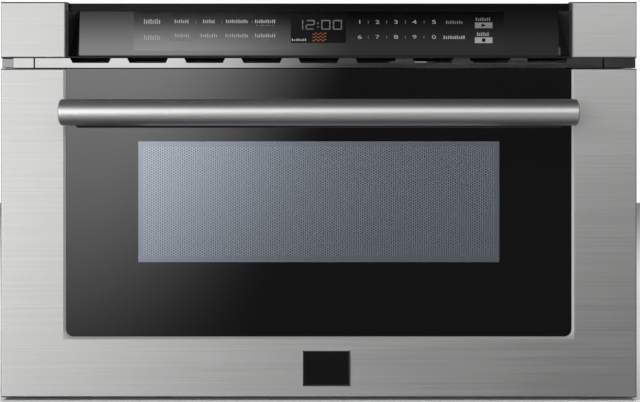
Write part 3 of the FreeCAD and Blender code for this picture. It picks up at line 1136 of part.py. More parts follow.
def fan():
    """Square fan shroud on the back cover, its motor on crossed arms, and the bladed wheel."""
    x, z = FAN
    side = "(dim.fan_r + dim.fan_frame)"
    shroud = body("fan_shroud")
    pad(shroud, "y", FAN_FRONT, FAN_BACK,
        [rectangle(f"({x} - {side})", f"({x} + {side})", f"({z} - {side})", f"({z} + {side})")])
    corners = [f"Edge{n}" for n, edge in enumerate(shroud.Shape.Edges, start=1)
               if abs(edge.BoundBox.YLength - edge.Length) < 0.01]
    finish(shroud, "Fillet", "dim.fan_frame_r", corners)
    pocket(shroud, "y", f"({FAN_FRONT} - {PAST})", f"({FAN_BACK} + {PAST})",
           circles=[(*FAN, "(dim.fan_r + dim.window_clear)")])
    arm_high = f"({FAN_FRONT} + dim.fan_arm_depth)"
    reach, half = "(dim.fan_r + dim.fan_arm_depth)", "(dim.fan_arm/2)"
    for wide, tall in ((half, reach), (reach, half)):
        pad(shroud, "y", FAN_FRONT, arm_high,
            [rectangle(f"({x} - {wide})", f"({x} + {wide})", f"({z} - {tall})", f"({z} + {tall})")])
    pocket(shroud, "y", f"({FAN_FRONT} - {PAST})", f"({arm_high} + {PAST})",
           circles=[(*FAN, "(dim.fan_shaft_r + dim.sheet)")])
    motor = body("fan_motor")
    can_front = f"({FAN_FRONT} - dim.fan_motor_depth)"
    pad(motor, "y", can_front, FAN_FRONT, circles=[(*FAN, "dim.fan_motor_r")])
    pad(motor, "y", f"({can_front} - dim.fan_cap_depth)", can_front, circles=[(*FAN, "dim.fan_cap_r")])
    pocket(motor, "y", f"({FAN_FRONT} - dim.fan_motor_depth/2 - {PAST})", f"({FAN_FRONT} + {PAST})",
           circles=[(*FAN, "(dim.fan_shaft_r + dim.shaft_fit)")])
    hub_low, hub_high = f"({arm_high} + {PAST})", f"({FAN_BACK} - dim.window_clear)"
    parts = [rod("fan_hub", "y", FAN, hub_low, hub_high, "dim.fan_hub_r"),
             rod("fan_shaft", "y", FAN, f"({FAN_FRONT} - dim.fan_motor_depth/2)", f"({hub_low} + {PAST})",
                 "dim.fan_shaft_r")]
    for index in range(int(value("dim.fan_blades"))):
        parts.append(fan_blade(index, value(hub_low), value(hub_high)))
    node("fan_wheel", fuse("fan_parts", parts))


def fan_blade(index, low, high):
    """Twisted blade, ruled between its root and its tip chord."""
    lean_root, lean_tip = math.radians(38), math.radians(62)
    depth = high - low - 2
    middle_y = (low + high) / 2
    loops = []
    root, tip = value("(dim.fan_hub_r - 2)"), value("dim.fan_r") - 1
    for radius, lean in ((root, lean_root), (tip, lean_tip)):
        half_y = depth / 2
        half_x = half_y * math.tan(lean) * 0.8
        chord = Vector(half_x, half_y, 0)
        across = Vector(-half_y, half_x, 0).normalize() * 0.8
        corners = [chord + across, chord - across, -chord - across, -chord + across]
        spots = [Vector(c.x, middle_y + c.y, radius) for c in corners]
        loops.append(Part.makePolygon(spots + spots[:1]))
    blade = doc.addObject("Part::Feature", f"fan_blade_{index}")
    blade.Shape = Part.makeLoft(loops, True, True)
    blade.Placement.Rotation = Rotation(Vector(0, 1, 0), index * 360 / value("dim.fan_blades"))
    blade.Placement.Base = Vector(value(FAN[0]), 0, value(FAN[1]))
    return blade


BOARD_BLOCKS = (  # left, front, width, depth and height, as shares of the board and its tallest component
    (0.065, 0.08, 0.33, 0.20, 0.87), (0.46, 0.08, 0.20, 0.17, 0.53), (0.46, 0.29, 0.20, 0.17, 0.53),
    (0.11, 0.56, 0.43, 0.045, 1.0), (0.72, 0.11, 0.22, 0.33, 0.33), (0.67, 0.72, 0.24, 0.145, 0.6),
)
BOARD_CANS = (0.15, 0.37, 0.59)


def transformer():
    """Laminated core with two windows and the coils that fill them."""
    right = f"({CHASSIS_HALF} - dim.core_inset)"
    left, front = f"({right} - dim.core_width)", f"({CHASSIS_BACK} - dim.core_place)"
    back, middle = f"({front} + dim.core_depth)", "(dim.sheet + dim.core_height/2)"
    window = "(dim.coil_height + 2*dim.coil_play)"
    across = (f"({left} - {PAST})", f"({right} + {PAST})")
    tall = (f"({middle} - {window})", f"({middle} + {window})")
    near = (f"({front} + dim.core_leg)", f"({front} + dim.core_leg + dim.core_window)")
    far = (f"({back} - dim.core_leg - dim.core_window)", f"({back} - dim.core_leg)")
    high = "(dim.sheet + dim.core_height)"
    core = cut("transformer_core",
               box("transformer_block", (left, right), (front, back), ("dim.sheet", high)),
               [box("core_window_near", across, near, tall), box("core_window_far", across, far, tall)])
    length = (f"({left} - dim.coil_bulge)", f"({right} + dim.coil_bulge)")
    deep = (f"({near[0]} + dim.coil_play)", f"({far[1]} - dim.coil_play)")
    low, high = f"({middle} - dim.coil_play - dim.coil_height)", f"({middle} + dim.coil_play)"
    coils = [box(f"coil_{name}", length, deep, (level, f"({level} + dim.coil_height)"))
             for name, level in (("low", low), ("high", high))]
    node("transformer", fuse("transformer_parts", [core] + coils))


def capacitor():
    """Oval capacitor on the base with two terminals."""
    can = body("capacitor")
    left, right = "(dim.can_right - dim.can_length)", "dim.can_right"
    front, top = f"({CHASSIS_BACK} - dim.can_place)", "(dim.sheet + dim.can_height)"
    pad(can, "z", "dim.sheet", top, [rectangle(left, right, front, f"({front} + dim.can_depth)")])
    finish(can, "Fillet", "(dim.can_depth/2 - dim.fit_gap)", edges(can.Shape, "z", x=(left, right)))
    spots = [(f"(({left} + {right})/2 {sign} dim.terminal_pitch/2)", f"({front} + dim.can_depth/2)",
              "dim.terminal_r") for sign in "-+"]
    pad(can, "z", f"({top} - {PAST})", f"({top} + dim.terminal_height)", circles=spots)


def power_board():
    """Board on four posts above the cavity, with its larger components."""
    roof = f"({CAVITY_TOP} + dim.cavity_sheet)"
    right, front = f"({CAVITY_HALF} - dim.board_inset)", "dim.board_front"
    left, back = "(dim.dome_r + dim.board_clear)", f"({front} + dim.board_depth)"
    width = f"({right} - {left})"
    under = f"({roof} + dim.board_lift)"
    top = f"({under} + dim.board_thickness)"
    parts = [box("board", (left, right), (front, back), (under, top))]
    inset = "dim.board_post_inset"
    spots = [(x, y) for x in (f"({left} + {inset})", f"({right} - {inset})")
             for y in (f"({front} + {inset})", f"({back} - {inset})")]
    for index, spot in enumerate(spots):
        parts.append(rod(f"board_post_{index}", "z", spot, roof, f"({under} + {PAST})", "dim.board_post_r"))
    foot = f"({top} - dim.board_thickness/2)"
    for index, (along, behind, wide, deep, tall) in enumerate(BOARD_BLOCKS):
        x, y = f"({left} + {width}*{along})", f"({front} + dim.board_depth*{behind})"
        parts.append(box(f"board_block_{index}", (x, f"({x} + {width}*{wide})"),
                         (y, f"({y} + dim.board_depth*{deep})"), (foot, f"({top} + dim.board_rise*{tall})")))
    for index, share in enumerate(BOARD_CANS):
        spot = (f"({left} + {width}*{share})", f"({front} + dim.board_depth*0.845)")
        parts.append(rod(f"board_can_{index}", "z", spot, foot, f"({top} + dim.board_rise*0.67)",
                         "dim.board_can_r"))
    node("power_board", fuse("power_board_parts", parts))


def cavity_lamp():
    """Lamp holder on the cavity's left wall, over its air slots, with the lamp's cap outside."""
    inner = f"(-{CAVITY_HALF} - dim.cavity_sheet)"
    outer, high = f"({inner} - dim.lamp_width)", f"({CAVITY_TOP} - dim.lamp_drop)"
    low, back = f"({high} - dim.lamp_height)", f"({CAVITY_BACK} - dim.lamp_place)"
    front = f"({back} - dim.lamp_depth)"
    holder = box("lamp_holder", (outer, inner), (front, back), (low, high))
    cap = rod("lamp_base", "x", (f"(({front} + {back})/2)", f"(({low} + {high})/2)"),
              f"({outer} - dim.lamp_base_length)", f"({outer} + {PAST})", "dim.lamp_base_r")
    node("cavity_lamp", fuse("lamp_parts", [holder, cap]))


# Chassis panels
PANEL_UNDER = f"({CHASSIS_TOP} - dim.sheet)"
BACK_FACE = f"({CHASSIS_BACK} - dim.sheet)"
SLOTS_FROM = f"({CAVITY_BACK} + dim.vent_slot_behind)"
GLAND = (f"(-({CHASSIS_HALF} - dim.gland_inset))", "dim.gland_height")


def base_plate():
    """Base with an upright on each side that holds a slide, and folded front and back edges."""
    base = body("base_plate")
    half = f"({CHASSIS_HALF} - dim.sheet)"
    pad(base, "z", "0", "dim.sheet", [centred(half, PLATE_FRONT, BACK_FACE)])
    for low_y, high_y in (("0", "dim.sheet"), (f"({BACK_FACE} - dim.sheet)", BACK_FACE)):
        pad(base, "z", "0", "dim.fold", [centred(half, low_y, high_y)])
    for sign in ("", "-"):
        inner, outer = f"{sign}1*{RAIL_FACE}", f"{sign}1*({RAIL_FACE} + dim.bracket_sheet)"
        pad(base, "y", "dim.rail_start", f"({RAIL_END} + dim.bracket_over)",
            [rectangle(inner, outer, "0", "dim.bracket_height")])
    slot = pocket(base, "z", f"-{PAST}", f"(dim.sheet + {PAST})",
                  [rectangle("(-dim.base_slot_side - dim.base_slot_length)", "-dim.base_slot_side",
                             "dim.base_slot_front", "(dim.base_slot_front + dim.base_slot_width)")])
    repeat(base, slot, "dim.base_slot_pitch", "dim.base_slot_count", "V_Axis")


def side_panels():
    """Side sheets with a folded top edge and a field of vent slots at the rear."""
    for side, sign in (("left", "-"), ("right", "")):
        panel = body(f"side_panel_{side}")
        outer, inner = f"{sign}1*{CHASSIS_HALF}", f"{sign}1*({CHASSIS_HALF} - dim.sheet)"
        fold = f"{sign}1*({CHASSIS_HALF} - dim.fold)"
        under = f"({PANEL_UNDER} - dim.sheet)"
        outline = [(outer, "0"), (outer, PANEL_UNDER), (fold, PANEL_UNDER), (fold, under), (inner, under),
                   (inner, "0")]
        pad(panel, "y", "0", BACK_FACE, [outline])
        ends = (f"({outer} - 2*dim.sheet)", f"({outer} + 2*dim.sheet)")
        high = f"({CHASSIS_TOP} - dim.side_slot_drop)"
        slot = pocket(panel, "x", *ends, [rectangle(SLOTS_FROM, f"({SLOTS_FROM} + dim.vent_slot_width)",
                                                    f"({high} - dim.side_slot_length)", high)])
        repeat(panel, slot, "dim.side_slot_pitch", "dim.side_slot_count")


def top_cover():
    """Top sheet round the control housing, with a folded edge behind it and a field of vent slots."""
    cover = body("top_cover")
    front, notch = f"({HOUSING_BACK} + {PAST})", f"({PANEL_HALF} + {PAST})"
    outline = [(f"-{CHASSIS_HALF}", "0"), (f"-{notch}", "0"), (f"-{notch}", front), (notch, front),
               (notch, "0"), (CHASSIS_HALF, "0"), (CHASSIS_HALF, CHASSIS_BACK),
               (f"-{CHASSIS_HALF}", CHASSIS_BACK)]
    pad(cover, "z", PANEL_UNDER, CHASSIS_TOP, [outline])
    pad(cover, "z", f"({PANEL_UNDER} - dim.fold)", PANEL_UNDER,
        [centred(f"({CHASSIS_HALF} - dim.fold - dim.window_clear)", front, f"({front} + dim.sheet)")])
    left = f"({CHASSIS_HALF} - dim.top_slot_inset)"
    slot = pocket(cover, "z", f"({PANEL_UNDER} - {PAST})", f"({CHASSIS_TOP} + {PAST})",
                  [rectangle(left, f"({left} + dim.vent_slot_width)", SLOTS_FROM,
                             f"({SLOTS_FROM} + dim.top_slot_length)")])
    repeat(cover, slot, "dim.top_slot_pitch", "dim.top_slot_count")


def back_cover():
    """Back sheet with vent slots behind the fan, an outlet field and the cord grommet."""
    cover = body("back_cover")
    x, z = FAN
    pad(cover, "y", BACK_FACE, CHASSIS_BACK, [centred(CHASSIS_HALF, "0", PANEL_UNDER)])
    through = (f"({BACK_FACE} - {PAST})", f"({CHASSIS_BACK} + {PAST})")
    half = "(dim.fan_r*0.75)"
    low = f"({z} - (dim.back_slot_pitch*(dim.back_slot_count - 1) + dim.vent_slot_width)/2)"
    slot = pocket(cover, "y", *through,
                  [rectangle(f"({x} - {half})", f"({x} + {half})", low, f"({low} + dim.vent_slot_width)")])
    repeat(cover, slot, "dim.back_slot_pitch", "dim.back_slot_count", "V_Axis")
    right, low = f"({CHASSIS_HALF} - dim.outlet_inset)", f"({CHASSIS_TOP} - dim.outlet_drop)"
    outlet = pocket(cover, "y", *through, [rectangle(f"({right} - dim.outlet_slot_length)", right, low,
                                                     f"({low} + dim.vent_slot_width)")])
    repeat(cover, outlet, "dim.back_slot_pitch", "dim.outlet_slot_count", "V_Axis")
    pocket(cover, "y", *through, circles=[(*GLAND, "(dim.gland_neck_r + dim.fit_gap)")])
    gland = body("cord_gland")
    nose = f"({CHASSIS_BACK} + dim.gland_nose)"
    pad(gland, "y", f"({BACK_FACE} - dim.gland_flange)", BACK_FACE, circles=[(*GLAND, "dim.gland_r")])
    pad(gland, "y", BACK_FACE, nose, circles=[(*GLAND, "dim.gland_neck_r")])
    pocket(gland, "y", f"({BACK_FACE} - dim.gland_flange - {PAST})", f"({nose} + {PAST})",
           circles=[(*GLAND, "dim.gland_bore_r")])


# Interlock and screws
def interlock():
    """Switch block behind the front plate on each side, and the tongue on the door that enters it."""
    pair = []
    half, thin = "(dim.switch_width/2)", "(dim.tongue_thickness/2)"
    clear, tall = f"({thin} + dim.tongue_clear)", "(dim.tongue_height/2)"
    end, back = "dim.tongue_length", "dim.switch_depth"
    groove = "(dim.switch_middle/2)"
    for side, sign in (("left", "-"), ("right", "")):
        block = body(f"interlock_{side}")
        inner, outer = f"{sign}1*({TONGUE_X} - {half})", f"{sign}1*({TONGUE_X} + {half})"
        low, high = f"({TONGUE_Z} - dim.switch_height/2)", f"({TONGUE_Z} + dim.switch_height/2)"
        pad(block, "y", "0", back, [rectangle(inner, outer, low, high)])
        pocket(block, "y", f"-{PAST}", f"({end} + dim.window_clear)",
               [rectangle(f"{sign}1*({TONGUE_X} - {clear})", f"{sign}1*({TONGUE_X} + {clear})",
                          f"({TONGUE_Z} - {tall} - dim.window_clear)",
                          f"({TONGUE_Z} + {tall} + dim.window_clear)")])
        for place in (f"({TONGUE_Z} + {groove})", f"({TONGUE_Z} - {groove} - dim.switch_groove)"):
            pocket(block, "y", "dim.switch_web", f"({back} + {PAST})",
                   [rectangle(inner, outer, place, f"({place} + dim.switch_groove)")])
        start, tip = f"({end} - dim.tongue_taper)", f"({thin}*0.4)"
        plan = [(f"{sign}1*({TONGUE_X} - {thin})", DOOR_BACK), (f"{sign}1*({TONGUE_X} + {thin})", DOOR_BACK),
                (f"{sign}1*({TONGUE_X} + {thin})", start), (f"{sign}1*({TONGUE_X} + {tip})", end),
                (f"{sign}1*({TONGUE_X} - {tip})", end), (f"{sign}1*({TONGUE_X} - {thin})", start)]
        tongue = doc.addObject("PartDesign::Body", f"tongue_{side}")
        pad(tongue, "z", f"({TONGUE_Z} - {tall})", f"({TONGUE_Z} + {tall})", [plan])
        pair.append(tongue)
    joined = doc.addObject("Part::Compound", "tongue_pair")
    joined.Links = pair
    node("door_tongues", joined)


def screws():
    """Screw heads that hold the covers, and those on the drawer's arms."""
    fixed = []
    head, inset = "dim.screw_head", "dim.screw_inset"
    heights = (inset, f"({CHASSIS_TOP} - {inset})")
    edge = f"({CHASSIS_HALF} - {inset} + dim.sheet)"
    places = (f"(-{edge})", "(-dim.back_screw_pitch/2)", "(dim.back_screw_pitch/2)", edge)
    for index, (x, z) in enumerate(((x, z) for x in places for z in heights)):
        fixed.append(rod(f"back_screw_{index}", "y", (x, z), CHASSIS_BACK, f"({CHASSIS_BACK} + {head})",
                         "dim.screw_r"))
    pitch = "((dim.chassis_depth - 2*dim.side_screw_end)/3)"
    places = [f"(dim.side_screw_end + {step}*{pitch})" for step in range(4)]
    for index, (y, z) in enumerate(((y, z) for y in places for z in heights)):
        fixed.append(rod(f"left_screw_{index}", "x", (y, z), f"(-{CHASSIS_HALF} - {head})",
                         f"(-{CHASSIS_HALF})", "dim.screw_r"))
        fixed.append(rod(f"right_screw_{index}", "x", (y, z), CHASSIS_HALF, f"({CHASSIS_HALF} + {head})",
                         "dim.screw_r"))
    group = doc.addObject("Part::Compound", "chassis_screw_group")
    group.Links = fixed
    node("chassis_screws", group)
    moving = []
    flange = f"({DOOR_BACK} + dim.carrier_sheet)"
    for side, sign in (("left", "-"), ("right", "")):
        for index, way in enumerate("-+"):
            spot = (f"{sign}1*({PAD_FACE} + dim.carrier_flange/2)",
                    f"(dim.rail_axis_height {way} dim.arm_screw_pitch/2)")
            moving.append(rod(f"arm_screw_{side}_{index}", "y", spot, flange, f"({flange} + dim.sheet)",
                              "dim.screw_r"))
    group = doc.addObject("Part::Compound", "door_screw_group")
    group.Links = moving
    node("door_screws", group)


for build in (drawer_frame, door_glass, door_pan, window_screen, choke_pieces, handle, badge_plate, tub,
              tub_tray, slides, carriers, rack, drive_pinion, drive_unit, cheeks, front_plate,
              control_section, vent_grille, cavity, stirrer, magnetron, fan, transformer, capacitor,
              power_board, cavity_lamp, base_plate, side_panels, top_cover, back_cover, interlock, screws):
    build()
doc.recompute()

for thing in doc.Objects:
    if "Invalid" in thing.State or "Error" in thing.State:
        raise RuntimeError(f"{thing.Label} did not build: {thing.State}")
os.makedirs("parts", exist_ok=True)
for name, thing in nodes.items():
    if thing.Shape.isNull() or not thing.Shape.isValid():
        raise RuntimeError(f"{name} has no valid shape")
    thing.Shape.exportStep(f"parts/{name}.step")
    print(f"{name}: {len(thing.Shape.Solids)} solid(s), {thing.Shape.Volume / 1000:.1f} cm3")
print(f"{len(nodes)} pieces")
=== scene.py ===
import math

import bmesh
import bpy
from mathutils import Matrix, Vector


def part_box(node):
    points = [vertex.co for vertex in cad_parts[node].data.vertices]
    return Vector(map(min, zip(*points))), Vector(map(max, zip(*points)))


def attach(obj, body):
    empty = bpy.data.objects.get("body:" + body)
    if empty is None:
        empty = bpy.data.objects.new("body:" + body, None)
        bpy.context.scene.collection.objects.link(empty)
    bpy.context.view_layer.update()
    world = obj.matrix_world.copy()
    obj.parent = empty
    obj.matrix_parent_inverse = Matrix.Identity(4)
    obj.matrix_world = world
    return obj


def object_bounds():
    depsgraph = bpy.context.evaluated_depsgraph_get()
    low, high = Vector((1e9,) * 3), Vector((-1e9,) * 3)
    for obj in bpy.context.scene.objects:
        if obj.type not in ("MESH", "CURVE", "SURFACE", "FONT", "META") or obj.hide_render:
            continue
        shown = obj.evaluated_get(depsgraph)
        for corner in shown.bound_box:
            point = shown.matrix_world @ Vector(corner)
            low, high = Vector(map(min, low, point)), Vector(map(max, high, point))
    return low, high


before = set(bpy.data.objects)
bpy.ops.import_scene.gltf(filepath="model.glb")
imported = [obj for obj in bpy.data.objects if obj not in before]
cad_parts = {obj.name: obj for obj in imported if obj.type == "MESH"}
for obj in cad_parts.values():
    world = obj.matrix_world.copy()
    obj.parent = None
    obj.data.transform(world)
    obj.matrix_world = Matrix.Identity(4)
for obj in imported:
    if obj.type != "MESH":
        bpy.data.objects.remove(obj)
cadLow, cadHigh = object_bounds()
print("frame loaded:", len(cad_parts), "nodes")

mm = 0.001


def nodeBox(name):
    low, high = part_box(name)
    return Vector(low), Vector(high)


# material helpers
def newMaterial(name, color, roughness=0.5, metallic=0.0, **sockets):
    material = bpy.data.materials.new(name)
    material.use_nodes = True
    shader = material.node_tree.nodes["Principled BSDF"]
    shader.inputs["Base Color"].default_value = (*color, 1)
    shader.inputs["Roughness"].default_value = roughness
    shader.inputs["Metallic"].default_value = metallic
    for socket, setting in sockets.items():
        shader.inputs[socket.replace("_", " ")].default_value = setting
    return material


class Graph:
    # short hand for adding and joining nodes in one material
    def __init__(self, material):
        self.tree = material.node_tree
        self.shader = self.tree.nodes["Principled BSDF"]
        coords = self.tree.nodes.new("ShaderNodeTexCoord")
        self.place = coords.outputs["Object"]

    def add(self, kind, inputs=(), **settings):
        node = self.tree.nodes.new(kind)
        for key, setting in settings.items():
            setattr(node, key, setting)
        for socket, source in dict(inputs).items():
            if isinstance(source, bpy.types.NodeSocket):
                self.tree.links.new(source, node.inputs[socket])
            else:
                node.inputs[socket].default_value = source
        return node

    def math(self, operation, a, b=0.0, clamp=False):
        return self.add("ShaderNodeMath", {0: a, 1: b}, operation=operation, use_clamp=clamp).outputs[0]

    def stretched(self, scale):
        return self.add("ShaderNodeMapping", {"Vector": self.place, "Scale": scale}).outputs[0]

    def noise(self, scale, vector=None, detail=3.0, roughness=0.5):
        noise = self.add("ShaderNodeTexNoise", {"Vector": vector or self.place, "Scale": scale,
                                                "Detail": detail, "Roughness": roughness})
        return noise.outputs["Fac"]

    def ramp(self, source, low, high, toLow, toHigh, smooth=False):
        node = self.add("ShaderNodeMapRange", {"Value": source, "From Min": low, "From Max": high,
                                               "To Min": toLow, "To Max": toHigh},
                        interpolation_type="SMOOTHSTEP" if smooth else "LINEAR")
        return node.outputs[0]

    def mixColor(self, factor, a, b):
        node = self.add("ShaderNodeMix", {0: factor, 6: a, 7: b}, data_type="RGBA")
        return node.outputs[2]

    def split(self):
        return self.add("ShaderNodeSeparateXYZ", {0: self.place}).outputs

    def bump(self, height, strength, distance):
        node = self.add("ShaderNodeBump", {"Height": height, "Strength": strength, "Distance": distance})
        self.link(node.outputs[0], "Normal")

    def link(self, source, socket):
        self.tree.links.new(source, self.shader.inputs[socket])


def color4(color):
    return (*color, 1)


# the leaning control glass, from its lower to its upper edge
glassLow, glassHigh = nodeBox("control_glass")
panel = {
    "low": Vector((0, glassLow.y, glassLow.z)),
    "high": Vector((0, glassHigh.y - 5.6 * mm, glassHigh.z)),
    "lift": 0.06 * mm,
    "ink": (0.28, 0.285, 0.29),
    "dim": (0.11, 0.112, 0.116),
    "screenTone": (0.0025, 0.0025, 0.003),
    "orange": (0.16, 0.045, 0.019),
}
panel["run"] = panel["high"] - panel["low"]
panel["height"] = panel["run"].length
panel["up"] = panel["run"].normalized()
panel["out"] = Vector((0, -panel["up"].z, panel["up"].y))

# how a pixel of the photograph becomes a place: middle column, top row, metres per pixel at the front
# plane, and the camera's height and distance
frontPlane = nodeBox("drawer_frame")[0].y
photo = {
    "middle": 318.8,
    "top": 1.8,
    "scale": 0.9525 * mm,
    "eye": 0.226,
    "distance": 1.200,
}


def across(px):
    # metres right of the middle, from a column of the photograph
    return (px - photo["middle"]) * photo["scale"]


def along(py):
    # metres up the leaning glass, from a row of the photograph as the camera sees it
    rise = (cadHigh.z - (py - photo["top"]) * photo["scale"] - photo["eye"]) / photo["distance"]
    ahead = panel["low"].y - frontPlane + photo["distance"]
    slope = panel["run"].z / panel["run"].y
    back = (photo["eye"] + rise * ahead - panel["low"].z) / (slope - rise)
    return back * panel["height"] / panel["run"].y


def deeper(py):
    # how much wider the artwork is made, since it lies behind the front
    return 1 + (panel["up"].y * along(py) + panel["low"].y - frontPlane) / photo["distance"]


def panelHeight(py):
    # height of a row of the photograph on the leaning glass
    return panel["low"].z + along(py) * panel["up"].z


# finishes
steelFinish = {
    "color": (0.475, 0.475, 0.471),
    "roughness": 0.43,
    "anisotropic": 0.55,
    "streakLength": 0.16,
    "streakPitch": 0.0006,
    "contrast": 0.10,
}
stripFinish = dict(steelFinish, color=(0.42, 0.42, 0.415), roughness=0.08, anisotropic=0.2, contrast=0.05)


def between(graph, source, low, high):
    # 1 where a coordinate lies between two limits, else 0
    above = graph.math("GREATER_THAN", source, low)
    return graph.math("MULTIPLY", above, graph.math("LESS_THAN", source, high))


def brushedSteel(name, setup, direction="x", shadedOutline=None):
    material = newMaterial(name, setup["color"], setup["roughness"], 1.0,
                           Anisotropic=setup["anisotropic"])
    graph = Graph(material)
    fine, long = 1 / setup["streakPitch"], 1 / setup["streakLength"]
    scale = {"x": (long, fine, fine), "z": (fine, fine, long), "y": (fine, long, fine)}[direction]
    streaks = graph.noise(1.0, graph.stretched(scale), 4.0, 0.6)
    blotches = graph.noise(9.0, None, 2.0)
    low = tuple(c * (1 - setup["contrast"]) for c in setup["color"])
    high = tuple(min(1, c * (1 + setup["contrast"])) for c in setup["color"])
    tone = graph.mixColor(graph.ramp(streaks, 0.3, 0.7, 0, 1), color4(low), color4(high))
    worn = graph.math("MULTIPLY_ADD", blotches, 0.05)
    worn.node.inputs[2].default_value = setup["roughness"] - 0.045
    rough = graph.math("ADD", worn, graph.ramp(streaks, 0.3, 0.7, -0.03, 0.04))
    if shadedOutline:
        # painted shade: a darker, less metallic copy of the steel within the outline
        x, y, z = graph.split()
        shadeMask = graph.math("MULTIPLY", between(graph, x, -shadedOutline["half"], shadedOutline["half"]),
                         between(graph, z, shadedOutline["low"], shadedOutline["high"]))
        tone = graph.mixColor(shadeMask, tone, color4(shadedOutline["color"]))
        rough = graph.add("ShaderNodeMix", {0: shadeMask, 2: rough, 3: shadedOutline["roughness"]},
                          data_type="FLOAT").outputs[0]
        graph.link(graph.ramp(shadeMask, 0, 1, 1, shadedOutline["metallic"]), "Metallic")
    graph.link(tone, "Base Color")
    graph.link(rough, "Roughness")
    graph.bump(streaks, 0.12, 0.0001)
    return material


def coatedMetal(name, color, roughness, spangle=0.0, grain=0.0, metallic=1.0):
    # sheet metal: faint crystals (spangle) and a fine grain
    material = newMaterial(name, color, roughness, metallic)
    graph = Graph(material)
    low = tuple(c * 0.91 for c in color)
    crystals = graph.add("ShaderNodeTexVoronoi", {"Vector": graph.place, "Scale": 70.0},
                         feature="F1").outputs["Color"]
    level = graph.add("ShaderNodeSeparateColor", {0: crystals}).outputs[0]
    cloud = graph.noise(18.0, None, 4.0)
    mixed = graph.math("ADD", graph.math("MULTIPLY", level, spangle),
                       graph.math("MULTIPLY", cloud, 1 - spangle))
    graph.link(graph.mixColor(mixed, color4(low), color4(color)), "Base Color")
    graph.link(graph.ramp(mixed, 0.2, 0.8, roughness - 0.03, roughness + 0.05), "Roughness")
    graph.bump(graph.noise(900.0, None, 2.0), grain, 0.0002)
    return material


def slotShadeBand(material, low, high):
    # painted shade: a matt black band between two heights, standing in for the shade behind the vent slots
    graph = Graph(material)
    x, y, z = graph.split()
    plain = graph.shader.inputs["Base Color"].links[0].from_socket
    painted = between(graph, z, low, high)
    graph.link(graph.mixColor(painted, plain, (0.008, 0.008, 0.008, 1)), "Base Color")
    return material


def moulded(name, color, roughness, grain=0.15, grainScale=1400.0, **sockets):
    # plastic with a fine spark-eroded grain and faint uneven gloss
    material = newMaterial(name, color, roughness, 0.0, **sockets)
    graph = Graph(material)
    cloud = graph.noise(22.0, None, 3.0)
    low = tuple(c * 0.9 for c in color)
    graph.link(graph.mixColor(cloud, color4(low), color4(color)), "Base Color")
    graph.link(graph.ramp(cloud, 0.3, 0.7, roughness - 0.04, roughness + 0.06), "Roughness")
    graph.bump(graph.noise(grainScale, None, 2.0), grain, 0.0001)
    return material


def enamel(name, color):
    material = newMaterial(name, color, 0.28, 0.0, Coat_Weight=0.4, Coat_Roughness=0.12)
    graph = Graph(material)
    peel = graph.noise(160.0, None, 2.0)
    low = tuple(c * 0.94 for c in color)
    graph.link(graph.mixColor(graph.noise(12.0), color4(low), color4(color)), "Base Color")
    graph.bump(peel, 0.08, 0.0004)
    return material


def polished(name, color, roughness):
    material = newMaterial(name, color, roughness, 1.0)
    graph = Graph(material)
    lines = graph.noise(1.0, graph.stretched((8.0, 1800.0, 1800.0)), 3.0)
    graph.link(graph.ramp(lines, 0.3, 0.7, roughness - 0.02, roughness + 0.03), "Roughness")
    graph.bump(lines, 0.04, 0.00005)
    return material


def rimmedPlate(name, field, rim):
    # glossy black plate with a bright raised rim
    material = newMaterial(name, field, 0.12)
    graph = Graph(material)
    low, high = nodeBox("badge_plate")
    edge = 1.2 * mm
    x, y, z = graph.split()
    inner = graph.math("MULTIPLY", between(graph, x, low.x + edge, high.x - edge),
                       between(graph, z, low.z + edge, high.z - edge))
    graph.link(graph.mixColor(inner, color4(rim), color4(field)), "Base Color")
    graph.link(graph.math("SUBTRACT", 1.0, inner), "Metallic")
    haze = graph.ramp(graph.noise(60.0, None, 3.0), 0.3, 0.8, 0.10, 0.16)
    graph.link(haze, "Roughness")
    return material


# door glass with its window
windowSetup = {
    "black": (0.0022, 0.0022, 0.0024),
    "halfWidth": 172 * mm,
    "low": 132 * mm,
    "high": 247 * mm,
    "flange": 5.0 * mm,
    "pitch": 2.42 * mm,
    "metal": (0.50, 0.55, 0.62),
    "hole": (0.15, 0.175, 0.215),
    "flangeColor": (0.33, 0.37, 0.44),
    "holeSize": 0.33,
    "roughness": 0.19,
}

# the darker field of the touch panel, within its printed border
touchField = {
    "halfWidth": 176.2 * mm,
    "low": panelHeight(50.5),
    "high": panelHeight(8.7),
    "border": (0.0016, 0.0016, 0.0017),
    "inside": (0.0003, 0.0003, 0.0004),
    "borderHaze": 0.085,
    "insideHaze": 0.05,
}


def panelMaterial(name, field):
    # black glass whose printed border is a little paler than the field in its middle
    material = newMaterial(name, field["border"], 0.035, 0.0, Specular_IOR_Level=0.95, IOR=2.2)
    graph = Graph(material)
    x, y, z = graph.split()
    # the field widens with its depth, so that its sides look upright from in front
    widening = graph.math("DIVIDE", graph.math("ADD", y, photo["distance"] - frontPlane), photo["distance"])
    side = graph.math("DIVIDE", graph.math("ABSOLUTE", x), widening)
    inner = graph.math("MULTIPLY", graph.math("LESS_THAN", side, field["halfWidth"]),
                       between(graph, z, field["low"], field["high"]))
    graph.link(graph.mixColor(inner, color4(field["border"]), color4(field["inside"])), "Base Color")
    dust = graph.noise(45.0, None, 3.0)
    satin = graph.ramp(dust, 0.3, 0.8, field["insideHaze"] - 0.015, field["insideHaze"] + 0.015)
    rough = graph.add("ShaderNodeMix", {0: inner, 2: field["borderHaze"], 3: satin}, data_type="FLOAT")
    graph.link(rough.outputs[0], "Roughness")
    return material


